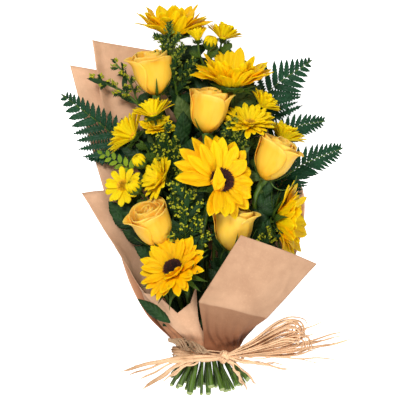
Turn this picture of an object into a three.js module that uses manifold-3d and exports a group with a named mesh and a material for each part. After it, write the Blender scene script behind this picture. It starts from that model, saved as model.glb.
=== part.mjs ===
// A mixed bouquet in brown paper, tied with raffia and laid on its back: sunflowers, roses, daisy
// chrysanthemums, goldenrod and leatherleaf fern. Units are millimetres. The cut stems point to -Y,
// the blooms to +Y, and +Z is up from the surface that the paper rests on.
import * as THREE from "three";
import { mergeVertices } from "three/addons/utils/BufferGeometryUtils.js";
import Module from "manifold-3d";

const wasm = await Module();
wasm.setup();
const { Manifold, Mesh } = wasm;

// ---------------------------------------------------------------- driving dimensions
// The tie is a flattened oval round the stems, with straighter sides than an ellipse.
const TIE = { y: -184, z: 24.6, halfWidth: 43, halfHeight: 20, squareness: 2.6 };
const SLOT_PITCH = 7.4; // stems stand this far apart in the tie, side by side
const LAYER_PITCH = 8.2; // and this far apart from the back layer to the front one
const LAST_COLUMN = 4; // columns run from -4 to 4
const FAN_ANGLE = 36; // degrees that the outermost cut ends lean out
const CUT_LENGTH = 38; // stem left below the tie, at the middle
const PAPER = 0.8; // thickness of a paper sheet
const FLOOR_SHEET = PAPER / 2; // a sheet's middle surface when it lies on the floor
const CLEAR = 0.4; // clear air between pieces that nearly touch
const LEAST_GAP = 0.3; // and the least that a petal, leaf or floret keeps from another piece

const STEM_RADIUS = { sunflower: 3.5, rose: 3.0, daisy: 2.2, goldenrod: 1.7, fern: 1.6, leafy: 1.8 };

const COLOUR = {
  sunflowerPetal: 0xffc20e,
  disc: 0x3a1710,
  rose: 0xf7b733,
  daisy: 0xffd414,
  goldenrod: 0x8f9e1e,
  stem: 0x3d7a2a,
  fern: 0x14532d,
  leaf: 0x1e4d2b,
  paper: 0xc89470,
  raffia: 0xe0b98c,
};

// Where each head sits, the way it faces, its radius over the petals, how far its petals lift
// (degrees), and the column and layer that its stem takes in the tie.
const SUNFLOWERS = [
  { at: [13, 38, 109], faces: [0.3, 0.3, 0.9], radius: 53, cup: 18, slot: [0, 2], via: [-8, -40, 56] },
  { at: [-43, -74, 104], faces: [-0.36, 0.38, 0.85], radius: 43, cup: 20, slot: [-2, 2] },
  { at: [31, 161, 72], faces: [0.06, 0.91, 0.4], radius: 50, cup: 30, slot: [2, 0], via: [26, 40, 42] },
  { at: [97, -14, 62], faces: [0.93, -0.1, 0.25], radius: 44, cup: 38, slot: [4, 2], via: [72, -80, 44] },
  { at: [-44, 229, 60], faces: [0, 0.96, 0.24], radius: 47, cup: 34, slot: [0, 0], via: [-20, 60, 26] },
];
const ROSES = [
  { at: [-69, 168, 74], faces: [-0.15, 0.93, 0.28], slot: [-2, 0], via: [-44, 40, 28] },
  { at: [1, 120, 88], faces: [0.12, 0.95, 0.2], slot: [0, 1], via: [-4, 30, 50] },
  { at: [80, 60, 92], faces: [0.42, 0.85, 0.22], slot: [3, 1], via: [59, -44, 41] },
  { at: [-69, -22, 92], faces: [-0.33, 0.79, 0.5], slot: [-3, 2] },
  { at: [32, -27, 82], faces: [0.06, 0.96, 0.22], slot: [1, 2] },
];
const ROSE = { height: 52, radius: 25 };

// A daisy stem branches: each branch ends in a bloom, or in a bud where it says so.
const DAISY_SPRAYS = [
  {
    name: "daisy_spray_top",
    slot: [1, 0],
    fork: [8, 165, 42],
    heads: [
      { at: [19, 216, 52], faces: [0.28, 0.94, 0.16], radius: 21, cup: 44 },
      { at: [-13, 211, 70], faces: [-0.1, 0.97, 0.2], radius: 14, cup: 58 },
      { at: [4, 203, 66], faces: [0.2, 0.9, 0.3], bud: 8 },
    ],
  },
  {
    name: "daisy_spray_left",
    slot: [-3, 1],
    fork: [-62, 40, 40],
    heads: [
      { at: [-68, 119, 74], faces: [-0.25, 0.9, 0.3], radius: 27, cup: 30 },
      { at: [-103, 92, 62], faces: [-0.82, 0.5, 0.26], radius: 30, cup: 30 },
      { at: [-59, 92, 70], faces: [0.3, 0.74, 0.6], radius: 18, cup: 45 },
    ],
  },
  {
    name: "daisy_spray_low_left",
    slot: [-4, 2],
    fork: [-66, -70, 54],
    heads: [
      { at: [-108, 28, 72], faces: [-0.15, 0.34, 0.92], radius: 22, cup: 24 },
      { at: [-61, 36, 84], faces: [-0.58, 0.48, 0.6], radius: 24, cup: 36 },
      { at: [-86, 60, 74], faces: [-0.5, 0.7, 0.4], bud: 8 },
      { at: [-92, 26, 81], faces: [-0.2, 0.3, 0.85], bud: 8 },
    ],
  },
  {
    name: "daisy_spray_right",
    slot: [2, 1],
    fork: [50, 10, 46],
    heads: [
      { at: [51, 107, 84], faces: [0.04, 0.83, 0.53], radius: 30, cup: 26 },
      { at: [69, 129, 60], faces: [0.62, 0.72, 0.26], radius: 20, cup: 44 },
      { at: [97, 96, 50], faces: [0.3, 0.9, 0.26], radius: 24, cup: 34 },
    ],
  },
];

// A goldenrod spray rises from its slot through its points; side branches fill its last stretch.
const GOLDENRODS = [
  { name: "goldenrod_top", slot: [-1, 0], points: [[-36, 120, 44], [-42, 214, 84]], spread: 76, reach: 29 },
  { name: "goldenrod_left", slot: [-3, 0], points: [[-66, 92, 36], [-98, 142, 44], [-141, 163, 46]], spread: 62, reach: 22 },
  { name: "goldenrod_mid_left", slot: [-2, 1], points: [[-40, 20, 58], [-52, 88, 76]], spread: 66, reach: 26 },
  { name: "goldenrod_centre", slot: [-1, 2], points: [[-26, -50, 80], [-26, 38, 108]], spread: 94, reach: 30 },
  { name: "goldenrod_mid_right", slot: [1, 1], points: [[30, 40, 58], [32, 102, 92]], spread: 62, reach: 24 },
  { name: "goldenrod_right", slot: [2, 2], points: [[44, -84, 66], [78, -32, 74]], spread: 52, reach: 20 },
];

// A frond's rib runs from its slot through its points. Pinnae stand along the last stretch of it
// (blade), reaching port on its left side and starboard on its right, seen with the tip ahead.
const FERNS = [
  {
    name: "fern_left",
    slot: [-4, 0],
    points: [[-78, 40, 26], [-120, 92, 34], [-182, 141, 44]],
    blade: 130,
    port: 62,
    starboard: 32,
    pairs: 6,
  },
  {
    name: "fern_right_top",
    slot: [3, 0],
    points: [[52, 90, 24], [74, 150, 30], [129, 185, 36]],
    blade: 105,
    port: 28,
    starboard: 60,
    pairs: 5,
  },
  {
    name: "fern_right_mid",
    slot: [4, 0],
    points: [[66, 60, 26], [104, 96, 32], [145, 109, 36]],
    blade: 74,
    port: 20,
    starboard: 18,
    pairs: 4,
  },
  {
    name: "fern_right_low",
    slot: [4, 1],
    points: [[72, -10, 30], [106, 46, 42], [165, 74, 48]],
    blade: 104,
    port: 27,
    starboard: 30,
    pairs: 5,
  },
];

// Leafy twigs: a stem through its points, with pairs of leaves over its last stretch.
const TWIGS = [
  { name: "leafy_twig_left", slot: [-4, 1], points: [[-62, -66, 36], [-107, -12, 48]], leaves: 6, length: 34 },
  { name: "leafy_twig_mid", slot: [-1, 1], points: [[-26, -20, 52], [-30, 92, 66]], leaves: 8, length: 36 },
  { name: "leafy_twig_right", slot: [3, 2], points: [[55, -80, 60], [70, 14, 70]], leaves: 8, length: 32 },
];

// ---------------------------------------------------------------- small helpers
const V = (x = 0, y = 0, z = 0) => new THREE.Vector3(x, y, z);
const vec = (a) => V(...a);
const rad = THREE.MathUtils.degToRad;
const lerp = THREE.MathUtils.lerp;

// A repeatable number from -1 to 1 for two whole numbers.
function vary(a, b) {
  const s = Math.sin(a * 127.1 + b * 311.7) * 43758.5453;
  return 2 * (s - Math.floor(s)) - 1;
}

// A closed geometry, moved by a matrix, as a solid with its faces pointing out.
function solid(geometry, matrix = new THREE.Matrix4()) {
  const loose = geometry.index ? geometry.toNonIndexed() : geometry;
  const bare = new THREE.BufferGeometry();
  bare.setAttribute("position", loose.getAttribute("position").clone());
  bare.applyMatrix4(matrix);
  const merged = mergeVertices(bare, 1e-4);
  const vertProperties = merged.getAttribute("position").array;
  const triVerts = new Uint32Array(merged.index.array);
  const made = new Manifold(new Mesh({ numProp: 3, vertProperties, triVerts }));
  if (made.volume() > 0) return made;
  for (let i = 0; i < triVerts.length; i += 3) {
    [triVerts[i], triVerts[i + 1]] = [triVerts[i + 1], triVerts[i]];
  }
  return new Manifold(new Mesh({ numProp: 3, vertProperties, triVerts }));
}

// A solid as a three.js geometry, without slivers and without any loose scrap.
function geometryOf(made) {
  const whole = made.decompose().sort((a, b) => b.volume() - a.volume())[0];
  const mesh = whole.simplify(0.05).getMesh();
  const geometry = new THREE.BufferGeometry();
  geometry.setAttribute("position", new THREE.BufferAttribute(mesh.vertProperties, 3));
  geometry.setIndex(new THREE.BufferAttribute(mesh.triVerts, 1));
  geometry.computeVertexNormals();
  return geometry;
}

function indexed(points, faces) {
  const geometry = new THREE.BufferGeometry().setFromPoints(points);
  geometry.setIndex(faces.flat());
  return geometry;
}

// A closed skin over rings of points. A ring of one point is a tip; other ends get a flat cap, unless
// the last ring joins the first one in a hoop.
function loft(rings, hoop = false) {
  const start = [];
  const points = [];
  for (const ring of rings) {
    start.push(points.length);
    points.push(...ring);
  }
  const faces = [];
  const last = rings.length - 1;
  for (let k = 0; k < (hoop ? rings.length : last); k++) {
    const m = hoop ? (k + 1) % rings.length : k + 1;
    const n = Math.max(rings[k].length, rings[m].length);
    const here = (i) => start[k] + (rings[k].length > 1 ? i % n : 0);
    const next = (i) => start[m] + (rings[m].length > 1 ? i % n : 0);
    for (let i = 0; i < n; i++) {
      if (rings[k].length > 1) faces.push([here(i), here(i + 1), next(i)]);
      if (rings[m].length > 1) faces.push([here(i + 1), next(i + 1), next(i)]);
    }
  }
  if (hoop) return indexed(points, faces);
  for (let i = 1; i + 1 < rings[0].length; i++) faces.push([start[0], start[0] + i + 1, start[0] + i]);
  for (let i = 1; i + 1 < rings[last].length; i++) faces.push([start[last], start[last] + i, start[last] + i + 1]);
  return indexed(points, faces);
}

// A thin shell over a grid of points (rows of equal length), half its thickness on either side.
function shell(grid, thickness) {
  const rows = grid.length;
  const columns = grid[0].length;
  const at = (i, j) => grid[Math.min(Math.max(i, 0), rows - 1)][Math.min(Math.max(j, 0), columns - 1)];
  const above = [];
  const below = [];
  for (let i = 0; i < rows; i++) {
    for (let j = 0; j < columns; j++) {
      const along = at(i + 1, j).clone().sub(at(i - 1, j));
      const across = at(i, j + 1).clone().sub(at(i, j - 1));
      const normal = across.cross(along).normalize().multiplyScalar(thickness / 2);
      above.push(at(i, j).clone().add(normal));
      below.push(at(i, j).clone().sub(normal));
    }
  }
  const size = rows * columns;
  const faces = [];
  for (let i = 0; i + 1 < rows; i++) {
    for (let j = 0; j + 1 < columns; j++) {
      const [a, b, c, d] = [i * columns + j, i * columns + j + 1, (i + 1) * columns + j + 1, (i + 1) * columns + j];
      faces.push([a, b, c], [a, c, d], [size + a, size + c, size + b], [size + a, size + d, size + c]);
    }
  }
  const rim = [];
  for (let j = 0; j < columns; j++) rim.push(j);
  for (let i = 1; i < rows; i++) rim.push(i * columns + columns - 1);
  for (let j = columns - 2; j >= 0; j--) rim.push((rows - 1) * columns + j);
  for (let i = rows - 2; i > 0; i--) rim.push(i * columns);
  rim.forEach((a, k) => {
    const b = rim[(k + 1) % rim.length];
    faces.push([a, size + a, size + b], [a, size + b, b]);
  });
  return indexed([...above, ...below], faces);
}

// Points along a smooth curve through some stops: steps says how many go to each span between them.
function smoothLine(stops, steps) {
  const curve = new THREE.CatmullRomCurve3(stops);
  const line = [stops[0].clone()];
  steps.forEach((count, span) => {
    for (let i = 1; i <= count; i++) line.push(curve.getPoint((span + i / count) / steps.length));
  });
  return line;
}

// The straight pieces between such points as one curve, measured by length.
function lineCurve(line) {
  const path = new THREE.CurvePath();
  for (let k = 1; k < line.length; k++) path.add(new THREE.LineCurve3(line[k - 1], line[k]));
  return path;
}

// A round tube of few sides with its bends at the given points.
function tube(line, radius, sides) {
  const side = V(1, 0, 0);
  const rings = line.map((p, k) => {
    const ahead = line[Math.min(k + 1, line.length - 1)].clone().sub(line[Math.max(k - 1, 0)]).normalize();
    side.addScaledVector(ahead, -side.dot(ahead)).normalize();
    const up = ahead.cross(side);
    return Array.from({ length: sides }, (_, i) => {
      const angle = (2 * Math.PI * i) / sides;
      return p.clone().addScaledVector(side, radius * Math.cos(angle)).addScaledVector(up, radius * Math.sin(angle));
    });
  });
  return loft(rings);
}

// A turned solid: the profile runs up the axis side, as radius and height pairs.
function lathe(profile, segments) {
  const points = profile.map(([r, z]) => new THREE.Vector2(r, z));
  return new THREE.LatheGeometry(points, segments).rotateX(Math.PI / 2);
}

// A blade over its midrib: flat below, with a low ridge along the top, thin at its edges.
function blade(points, halfWidths, side, ridge) {
  const rings = points.map((p, k) => {
    if (halfWidths[k] === 0) return [p];
    const ahead = points[Math.min(k + 1, points.length - 1)].clone().sub(points[Math.max(k - 1, 0)]);
    const up = ahead.cross(side).normalize();
    const left = p.clone().addScaledVector(side, halfWidths[k]);
    const right = p.clone().addScaledVector(side, -halfWidths[k]);
    return [left, p.clone().addScaledVector(up, ridge), right];
  });
  return loft(rings);
}

// The matrix that carries a thing built round +Z to a place, facing a way.
function pose(at, faces, roll = 0) {
  const turn = new THREE.Quaternion().setFromUnitVectors(V(0, 0, 1), vec(faces).normalize());
  const spin = new THREE.Quaternion().setFromAxisAngle(V(0, 0, 1), roll);
  return new THREE.Matrix4().compose(vec(at), turn.multiply(spin), V(1, 1, 1));
}

// ---------------------------------------------------------------- rings of petals
// Petals or sepals that grow from one hub as a single skin. The hub is a short drum: its rim reaches
// from height rim[0] to rim[1], and it rises to a point at top and bottom.
class Corolla {
  constructor(options) {
    Object.assign(this, options);
  }

  angle(i) {
    return (2 * Math.PI * (i + this.phase + 0.16 * vary(i, this.count))) / this.count;
  }

  // The midrib of petal i, from the hub's edge outwards, and the half widths along it.
  petal(i, attempt) {
    const lift = this.lift + 5 * vary(i, this.count + 7) + 15 * attempt;
    const length = this.length * (1 + 0.07 * vary(i, this.count + 3)) * (1 - 0.1 * attempt);
    const points = [V(this.hub, 0, (this.rim[0] + this.rim[1]) / 2)];
    for (let k = 1; k < this.shares.length; k++) {
      const middle = (this.shares[k] + this.shares[k - 1]) / 2;
      const slope = rad(lift + this.droop * middle);
      const run = (this.shares[k] - this.shares[k - 1]) * length;
      points.push(points[k - 1].clone().add(V(run * Math.cos(slope), 0, run * Math.sin(slope))));
    }
    points.forEach((p) => p.applyAxisAngle(V(0, 0, 1), this.angle(i)));
    return points;
  }

  side(i) {
    return V(0, 1, 0).applyAxisAngle(V(0, 0, 1), this.angle(i));
  }

  // One petal on its own, for trying whether it stands clear.
  extras(place) {
    return Array.from({ length: this.count }, (_, i) => (attempt) => {
      const root = this.hub * Math.sin(Math.PI / this.count);
      const widths = this.widths.map((w, k) => (k === 0 ? root : w * this.halfWidth));
      return solid(blade(this.petal(i, attempt), widths, this.side(i), this.ridge), place);
    });
  }

  // The whole ring, with each petal as far up as its attempt says; -1 leaves a petal out.
  ring(attempts, place) {
    const kept = attempts.map((attempt, i) => ({ attempt, i })).filter((petal) => petal.attempt >= 0);
    const n = kept.length;
    const points = [V(0, 0, this.peak), V(0, 0, this.foot)];
    kept.forEach(({ i }, k) => {
      const next = kept[(k + 1) % n].i;
      const turn = (this.angle(next) - this.angle(i) + 4 * Math.PI) % (2 * Math.PI);
      const notch = this.angle(i) + turn / 2;
      const [x, y] = [this.hub * Math.cos(notch), this.hub * Math.sin(notch)];
      points.push(V(x, y, this.rim[1]), V(x, y, this.rim[0]));
    });
    const faces = [];
    kept.forEach(({ attempt, i }, k) => {
      const [lt, lb] = [2 + 2 * k, 3 + 2 * k];
      const [rt, rb] = [2 + 2 * ((k + n - 1) % n), 3 + 2 * ((k + n - 1) % n)];
      faces.push([0, rt, lt], [1, lb, rb]);
      const side = this.side(i);
      const ribs = this.petal(i, attempt);
      let before = null;
      for (let j = 1; j + 1 < ribs.length; j++) {
        const ahead = ribs[j + 1].clone().sub(ribs[j - 1]);
        const up = ahead.cross(side).normalize().multiplyScalar(this.ridge);
        const width = this.widths[j] * this.halfWidth;
        const here = [points.length, points.length + 1, points.length + 2];
        points.push(ribs[j].clone().addScaledVector(side, width), ribs[j].clone().add(up));
        points.push(ribs[j].clone().addScaledVector(side, -width));
        const [l, t, r] = here;
        if (before === null) {
          faces.push([lt, rt, t], [lt, t, l], [rt, r, t], [lb, l, r], [lb, r, rb], [lt, l, lb], [rt, rb, r]);
        } else {
          const [pl, pt, pr] = before;
          faces.push([pl, pt, t], [pl, t, l], [pt, pr, r], [pt, r, t], [pl, l, r], [pl, r, pr]);
        }
        before = here;
      }
      const tip = points.length;
      points.push(ribs[ribs.length - 1]);
      const [l, t, r] = before;
      faces.push([l, t, tip], [t, r, tip], [l, tip, r]);
    });
    return solid(indexed(points, faces), place);
  }
}

// ---------------------------------------------------------------- the list of pieces
// A piece has a body that is always there, and extras: petals, leaves and florets, each a function of
// the try, which bends further out of the way each time. An extra that no try brings clear of the
// other pieces is left off. A piece may say how the tries that were taken make it up.
const pieces = [];
function addPiece(name, colour, roughness, body, extras = [], finish = null) {
  pieces.push({ name, colour, roughness, body, extras, finish });
}

// A piece made of a body and rings of petals.
function addBloom(name, colour, place, body, rings, more = []) {
  const extras = rings.flatMap((ring) => ring.extras(place));
  const finish = (choices, kept) => {
    let used = 0;
    const made = rings.map((ring) => {
      const attempts = choices.slice(used, used + ring.count);
      used += ring.count;
      return ring.ring(attempts, place);
    });
    return Manifold.union([body, ...made, ...kept.slice(used).filter(Boolean)]);
  };
  addPiece(name, colour, 0.6, body, [...extras, ...more], finish);
}

// ---------------------------------------------------------------- stems and leaves
const slotPoint = ([column, layer]) => V(column * SLOT_PITCH, TIE.y, TIE.z + (layer - 1) * LAYER_PITCH);

// A stem's line runs from its cut end straight through the tie and on through its points.
function stemLine(slot, points) {
  const [column, layer] = slot;
  const share = column / LAST_COLUMN;
  const lean = rad(FAN_ANGLE * share);
  const length = CUT_LENGTH * (1 - 0.22 * share * share) + 5 * vary(column, layer);
  const below = slotPoint(slot).add(V(0, -9, 0));
  const above = slotPoint(slot).add(V(0, 9, 0));
  const end = below.clone().add(V(Math.sin(lean) * length, -Math.cos(lean) * length, (layer - 1) * 3));
  const steps = [1, 1, ...points.map((_, i) => (i < 2 ? 2 : 1))];
  return smoothLine([end, below, above, ...points], steps);
}

function headStem(head, slot, via, setback, radius, sides) {
  const back = vec(head.faces).normalize();
  const top = vec(head.at).addScaledVector(back, -setback);
  const knee = top.clone().addScaledVector(back, -22);
  const line = stemLine(slot, [...(via ? [vec(via)] : []), knee, top]);
  return { curve: lineCurve(line), body: solid(tube(line, radius, sides)) };
}

const LEAF_SHARES = [0, 0.2, 0.6, 1];
const LEAF_WIDTHS = [0.12, 0.8, 0.85, 0];

function leaf(root, direction, length, halfWidth) {
  const ahead = direction.clone().normalize();
  const side = V(0, 0, 1).cross(ahead).normalize();
  const up = ahead.clone().cross(side);
  const points = LEAF_SHARES.map((s) =>
    root.clone().addScaledVector(ahead, s * length).addScaledVector(up, 0.3 * length * s * (1 - s)),
  );
  return solid(blade(points, LEAF_WIDTHS.map((w) => w * halfWidth), side, 1.3));
}

// ---------------------------------------------------------------- sunflowers
SUNFLOWERS.forEach((bloom, k) => {
  const name = `sunflower_${k + 1}`;
  const place = pose(bloom.at, bloom.faces, k);
  const eye = 0.26 * bloom.radius; // radius of the disc
  const run = bloom.radius - eye - 1;
  const petal = {
    shares: [0, 0.45, 0.8, 1],
    widths: [0, 1, 0.75, 0],
    halfWidth: 0.135 * bloom.radius,
    ridge: 1.4,
    droop: -16,
  };
  const outer = new Corolla({
    ...petal,
    count: 10,
    phase: 0,
    hub: eye + 2.6,
    rim: [-4, -1.6],
    peak: -1.6,
    foot: -4,
    lift: bloom.cup,
    length: run / Math.cos(rad(bloom.cup - 8)),
  });
  const inner = new Corolla({
    ...petal,
    count: 8,
    phase: 0.5,
    hub: eye + 1.4,
    rim: [-1.9, 0.2],
    peak: 0.2,
    foot: -1.9,
    lift: bloom.cup + 22,
    length: 0.92 * run,
  });
  const hub = solid(new THREE.CylinderGeometry(eye - 1, eye - 1, 3.4, 8).rotateX(Math.PI / 2), place.clone()
    .multiply(new THREE.Matrix4().makeTranslation(0, 0, -1.8)));
  addBloom(`${name}_petals`, COLOUR.sunflowerPetal, place, hub, [outer, inner]);

  const base = 0.2 + CLEAR;
  const dome = [[0, base], [eye - 0.6, base], [0.85 * eye, 3.6], [0.45 * eye, 2.2], [0, 3.4]];
  addPiece(`${name}_disc`, COLOUR.disc, 0.9, solid(lathe(dome, 9), place));

  const calyx = new Corolla({
    shares: [0, 0.45, 1],
    widths: [0, 1, 0],
    halfWidth: 0.09 * bloom.radius,
    ridge: 1,
    droop: 20,
    count: 7,
    phase: 0.3,
    hub: 0.9 * eye,
    rim: [-7.8, -4.2 - CLEAR],
    peak: -4 - CLEAR,
    foot: -14,
    lift: bloom.cup - 40,
    length: 0.5 * bloom.radius,
  });
  const stem = headStem(bloom, bloom.slot, bloom.via, 10, STEM_RADIUS.sunflower, 5);
  addBloom(`${name}_stem`, COLOUR.stem, place, stem.body, [calyx]);
});

// ---------------------------------------------------------------- roses
// One rose petal wraps the bud: it bellies out like a goblet, and its lip rolls outwards. One side
// of it stands further out than the other, so that petals lap over each other.
const GOBLET = [[0.14, -0.4], [0.86, -0.2], [1, 0.2], [0.97, 0.5]];
const HEART = [[0.3, -0.3], [0.96, 0.1], [0.9, 0.5]];
const PETAL_SPAN = [-1, -0.35, 0.35, 1];

function rosePetal(facing, halfAngle, grow, rise, rows) {
  const grid = rows.map(([belly, up], k) =>
    PETAL_SPAN.map((a) => {
      const angle = facing + a * halfAngle;
      const lip = k === rows.length - 1 ? 1.5 - 2 * a * a : 0;
      const radius = ROSE.radius * belly * grow * (1 + 0.07 * a) + lip;
      const z = ROSE.height * up + rise - (k > 1 ? 3.5 * a * a : 0);
      return V(radius * Math.cos(angle), radius * Math.sin(angle), z);
    }),
  );
  return shell(grid, 1);
}

ROSES.forEach((bloom, k) => {
  const name = `rose_${k + 1}`;
  const place = pose(bloom.at, bloom.faces, 1.3 * k);
  const h = ROSE.height / 2;
  const bud = [[0, -h], [9, -h + 2], [13, 0.3 * h], [6, 0.95 * h], [0, 0.8 * h]];
  const petals = [];
  for (let i = 0; i < 3; i++) petals.push(rosePetal((2 * Math.PI * i) / 3, rad(74), 1, 0, GOBLET));
  for (let i = 0; i < 2; i++) petals.push(rosePetal(Math.PI * (i + 0.3), rad(80), 0.74, 2, HEART));
  const flower = Manifold.union([solid(lathe(bud, 6), place), ...petals.map((shape) => solid(shape, place))]);
  addPiece(`${name}_petals`, COLOUR.rose, 0.55, flower);

  const calyx = new Corolla({
    shares: [0, 0.4, 1],
    widths: [0, 1, 0],
    halfWidth: 3,
    ridge: 1,
    droop: 40,
    count: 5,
    phase: 0.2,
    hub: 5,
    rim: [-h - 3.5, -h - CLEAR],
    peak: -h - CLEAR,
    foot: -h - 10,
    lift: 16,
    length: 22,
  });
  const stem = headStem(bloom, bloom.slot, bloom.via, h + 5, STEM_RADIUS.rose, 5);
  const leaves = [0.5, 0.66].map((f, i) => (attempt) => {
    const out = i % 2 ? 1 : -1;
    const away = V(out * (0.9 - 0.25 * attempt), 0.8, 0.25 + 0.3 * attempt);
    return leaf(stem.curve.getPoint(f), away, 36 - 4 * attempt, 11);
  });
  addBloom(`${name}_stem`, COLOUR.stem, place, stem.body, [calyx], leaves);
});

// ---------------------------------------------------------------- daisy sprays
function daisyBloom(name, head) {
  const place = pose(head.at, head.faces, head.radius);
  const eye = 0.3 * head.radius;
  const run = head.radius - 0.8 * eye;
  const petal = { shares: [0, 0.55, 1], widths: [0, 1, 0], halfWidth: 0.15 * head.radius, ridge: 1.1, droop: -14 };
  const outer = new Corolla({
    ...petal,
    count: 8,
    phase: 0,
    hub: 0.8 * eye,
    rim: [-2.6, -0.8],
    peak: -0.8,
    foot: -3,
    lift: head.cup - 4,
    length: run / Math.cos(rad(head.cup - 8)),
  });
  const inner = new Corolla({
    ...petal,
    count: 6,
    phase: 0.5,
    hub: 0.6 * eye,
    rim: [-1.1, 0.8],
    peak: 3,
    foot: -1.1,
    lift: head.cup + 18,
    length: 0.94 * run,
  });
  const core = solid(new THREE.CylinderGeometry(0.4 * eye, 0.4 * eye, 2.4, 5).rotateX(Math.PI / 2), place.clone()
    .multiply(new THREE.Matrix4().makeTranslation(0, 0, -1)));
  addBloom(name, COLOUR.daisy, place, core, [outer, inner]);
}

DAISY_SPRAYS.forEach((spray) => {
  const fork = vec(spray.fork);
  const trunk = stemLine(spray.slot, [fork.clone().lerp(slotPoint(spray.slot), 0.4), fork]);
  const green = [solid(tube(trunk, STEM_RADIUS.daisy, 4))];
  spray.heads.forEach((head, i) => {
    const back = vec(head.faces).normalize();
    const eye = head.bud ?? 0.3 * head.radius;
    const top = vec(head.at).addScaledVector(back, head.bud ? -0.6 * eye : -4.6);
    const start = fork.clone().lerp(trunk[trunk.length - 2], 0.1);
    const knee = top.clone().addScaledVector(back, -0.2 * top.distanceTo(start));
    green.push(solid(tube(smoothLine([start, knee, top], [2, 1]), 0.62 * STEM_RADIUS.daisy, 4)));
    const place = pose(head.at, head.faces);
    if (head.bud) {
      green.push(solid(new THREE.SphereGeometry(head.bud, 6, 3), place));
    } else {
      const calyx = [[0, -3 - CLEAR], [0.95 * eye, -3 - CLEAR], [0.5 * eye, -6.5], [0, -7.5]];
      green.push(solid(lathe(calyx, 6), place));
      daisyBloom(`${spray.name}_bloom_${i + 1}`, head);
    }
  });
  addPiece(`${spray.name}_stems`, COLOUR.stem, 0.6, Manifold.union(green));
});

// ---------------------------------------------------------------- goldenrod
const GOLDENROD_BRANCHES = 6;
// Along a branch: how far, and how thick the crowd of florets is there.
const FLORET_BEADS = [[0, 0.7], [0.4, 3], [0.6, 1], [0.82, 2.7], [1, 0]];

function floretBranch(root, middle, tip) {
  const twig = new THREE.CatmullRomCurve3([root, middle, tip]);
  const rings = FLORET_BEADS.map(([s, radius], k) => {
    const p = twig.getPointAt(s);
    if (radius === 0) return [p];
    const ahead = twig.getTangentAt(s);
    const side = V(0, 0, 1).cross(ahead).normalize();
    const up = ahead.cross(side).normalize();
    return [0, 1, 2].map((i) => {
      const angle = (2 * Math.PI * (i + 0.5 * (k % 2))) / 3;
      return p.clone().addScaledVector(side, radius * Math.cos(angle)).addScaledVector(up, radius * Math.sin(angle));
    });
  });
  return solid(loft(rings));
}

GOLDENRODS.forEach((spray, k) => {
  const line = stemLine(spray.slot, spray.points.map(vec));
  const curve = lineCurve(line);
  const length = curve.getLength();
  const branches = [];
  for (let i = 0; i < GOLDENROD_BRANCHES; i++) {
    const share = i / (GOLDENROD_BRANCHES - 1);
    const f = 1 - (spray.spread * (1 - share) + 1) / length;
    branches.push((attempt) => {
      const root = curve.getPoint(f);
      const angle = 2.4 * i + k + 0.7 * attempt;
      const side = V(Math.cos(angle), 0, Math.max(0.1, Math.sin(angle)) * 0.9 + 0.15);
      const reach = spray.reach * (1.15 - 0.5 * share) * (1 - 0.15 * attempt);
      const way = curve.getTangent(f).multiplyScalar(share === 1 ? 3 : 0.85).add(side).normalize();
      const tip = root.clone().addScaledVector(way, reach);
      return floretBranch(root, root.clone().lerp(tip, 0.55).add(V(0, 0, -1.5)), tip);
    });
  }
  addPiece(spray.name, COLOUR.goldenrod, 0.7, solid(tube(line, STEM_RADIUS.goldenrod, 4)), branches);
});

// ---------------------------------------------------------------- leatherleaf fern
// A pinna is one thin blade, cut towards its rib into leaflets.
function pinna(root, ahead, side, length, teeth) {
  const points = [];
  const widths = [];
  const widest = 0.22 * length;
  const place = (s) => root.clone().addScaledVector(ahead, s * length).add(V(0, 0, -0.14 * length * s * s));
  for (let k = 0; k < teeth; k++) {
    const s = (k + 0.12) / (teeth + 0.2);
    const width = Math.max(1, widest * (1 - 0.8 * (k / teeth)));
    points.push(place(s), place(s + 0.62 / teeth));
    widths.push(0.32 * width, width);
  }
  points.push(place(1));
  widths.push(0);
  return solid(blade(points, widths, side, 0.9));
}

FERNS.forEach((frond) => {
  const line = stemLine(frond.slot, frond.points.map(vec));
  const curve = lineCurve(line);
  const length = curve.getLength();
  const pinnae = [];
  for (let i = 0; i < frond.pairs; i++) {
    const share = i / (frond.pairs - 1);
    for (const hand of [-1, 1]) {
      pinnae.push((attempt) => {
        const f = 1 - (frond.blade * (0.97 - 0.9 * share) + 3 * hand) / length;
        const ahead = curve.getTangent(f);
        const left = V(0, 0, 1).cross(ahead).normalize();
        const longest = hand < 0 ? frond.port : frond.starboard;
        const reach = longest * (1 - 0.8 * share) * (1 - 0.2 * attempt);
        const way = ahead.multiplyScalar(0.62).addScaledVector(left, -hand).normalize();
        way.z += 0.12 + 0.2 * attempt;
        way.normalize();
        const side = V(0, 0, 1).cross(way).normalize();
        return pinna(curve.getPoint(f), way, side, reach, reach > 24 ? 3 : 2);
      });
    }
  }
  const tip = () => {
    const ahead = curve.getTangent(0.99);
    return pinna(curve.getPoint(0.985), ahead, V(0, 0, 1).cross(ahead).normalize(), 18, 3);
  };
  addPiece(frond.name, COLOUR.fern, 0.6, solid(tube(line, STEM_RADIUS.fern, 4)), [tip, ...pinnae]);
});

// ---------------------------------------------------------------- leafy twigs
TWIGS.forEach((twig, k) => {
  const line = stemLine(twig.slot, twig.points.map(vec));
  const curve = lineCurve(line);
  const leaves = Array.from({ length: twig.leaves }, (_, i) => (attempt) => {
    const share = i / (twig.leaves - 1);
    const root = curve.getPoint(0.98 - 0.4 * (1 - share));
    const hand = i % 2 ? 1 : -1;
    const way = curve.getTangent(0.9).multiplyScalar(0.9);
    way.add(V(hand * (1 - share * share), 0, 0.25 + 0.25 * vary(i, k) + 0.3 * attempt));
    return leaf(root, way, twig.length * (1 - 0.12 * attempt), 0.27 * twig.length);
  });
  addPiece(twig.name, COLOUR.leaf, 0.5, solid(tube(line, STEM_RADIUS.leafy, 4)), leaves);
});

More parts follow.
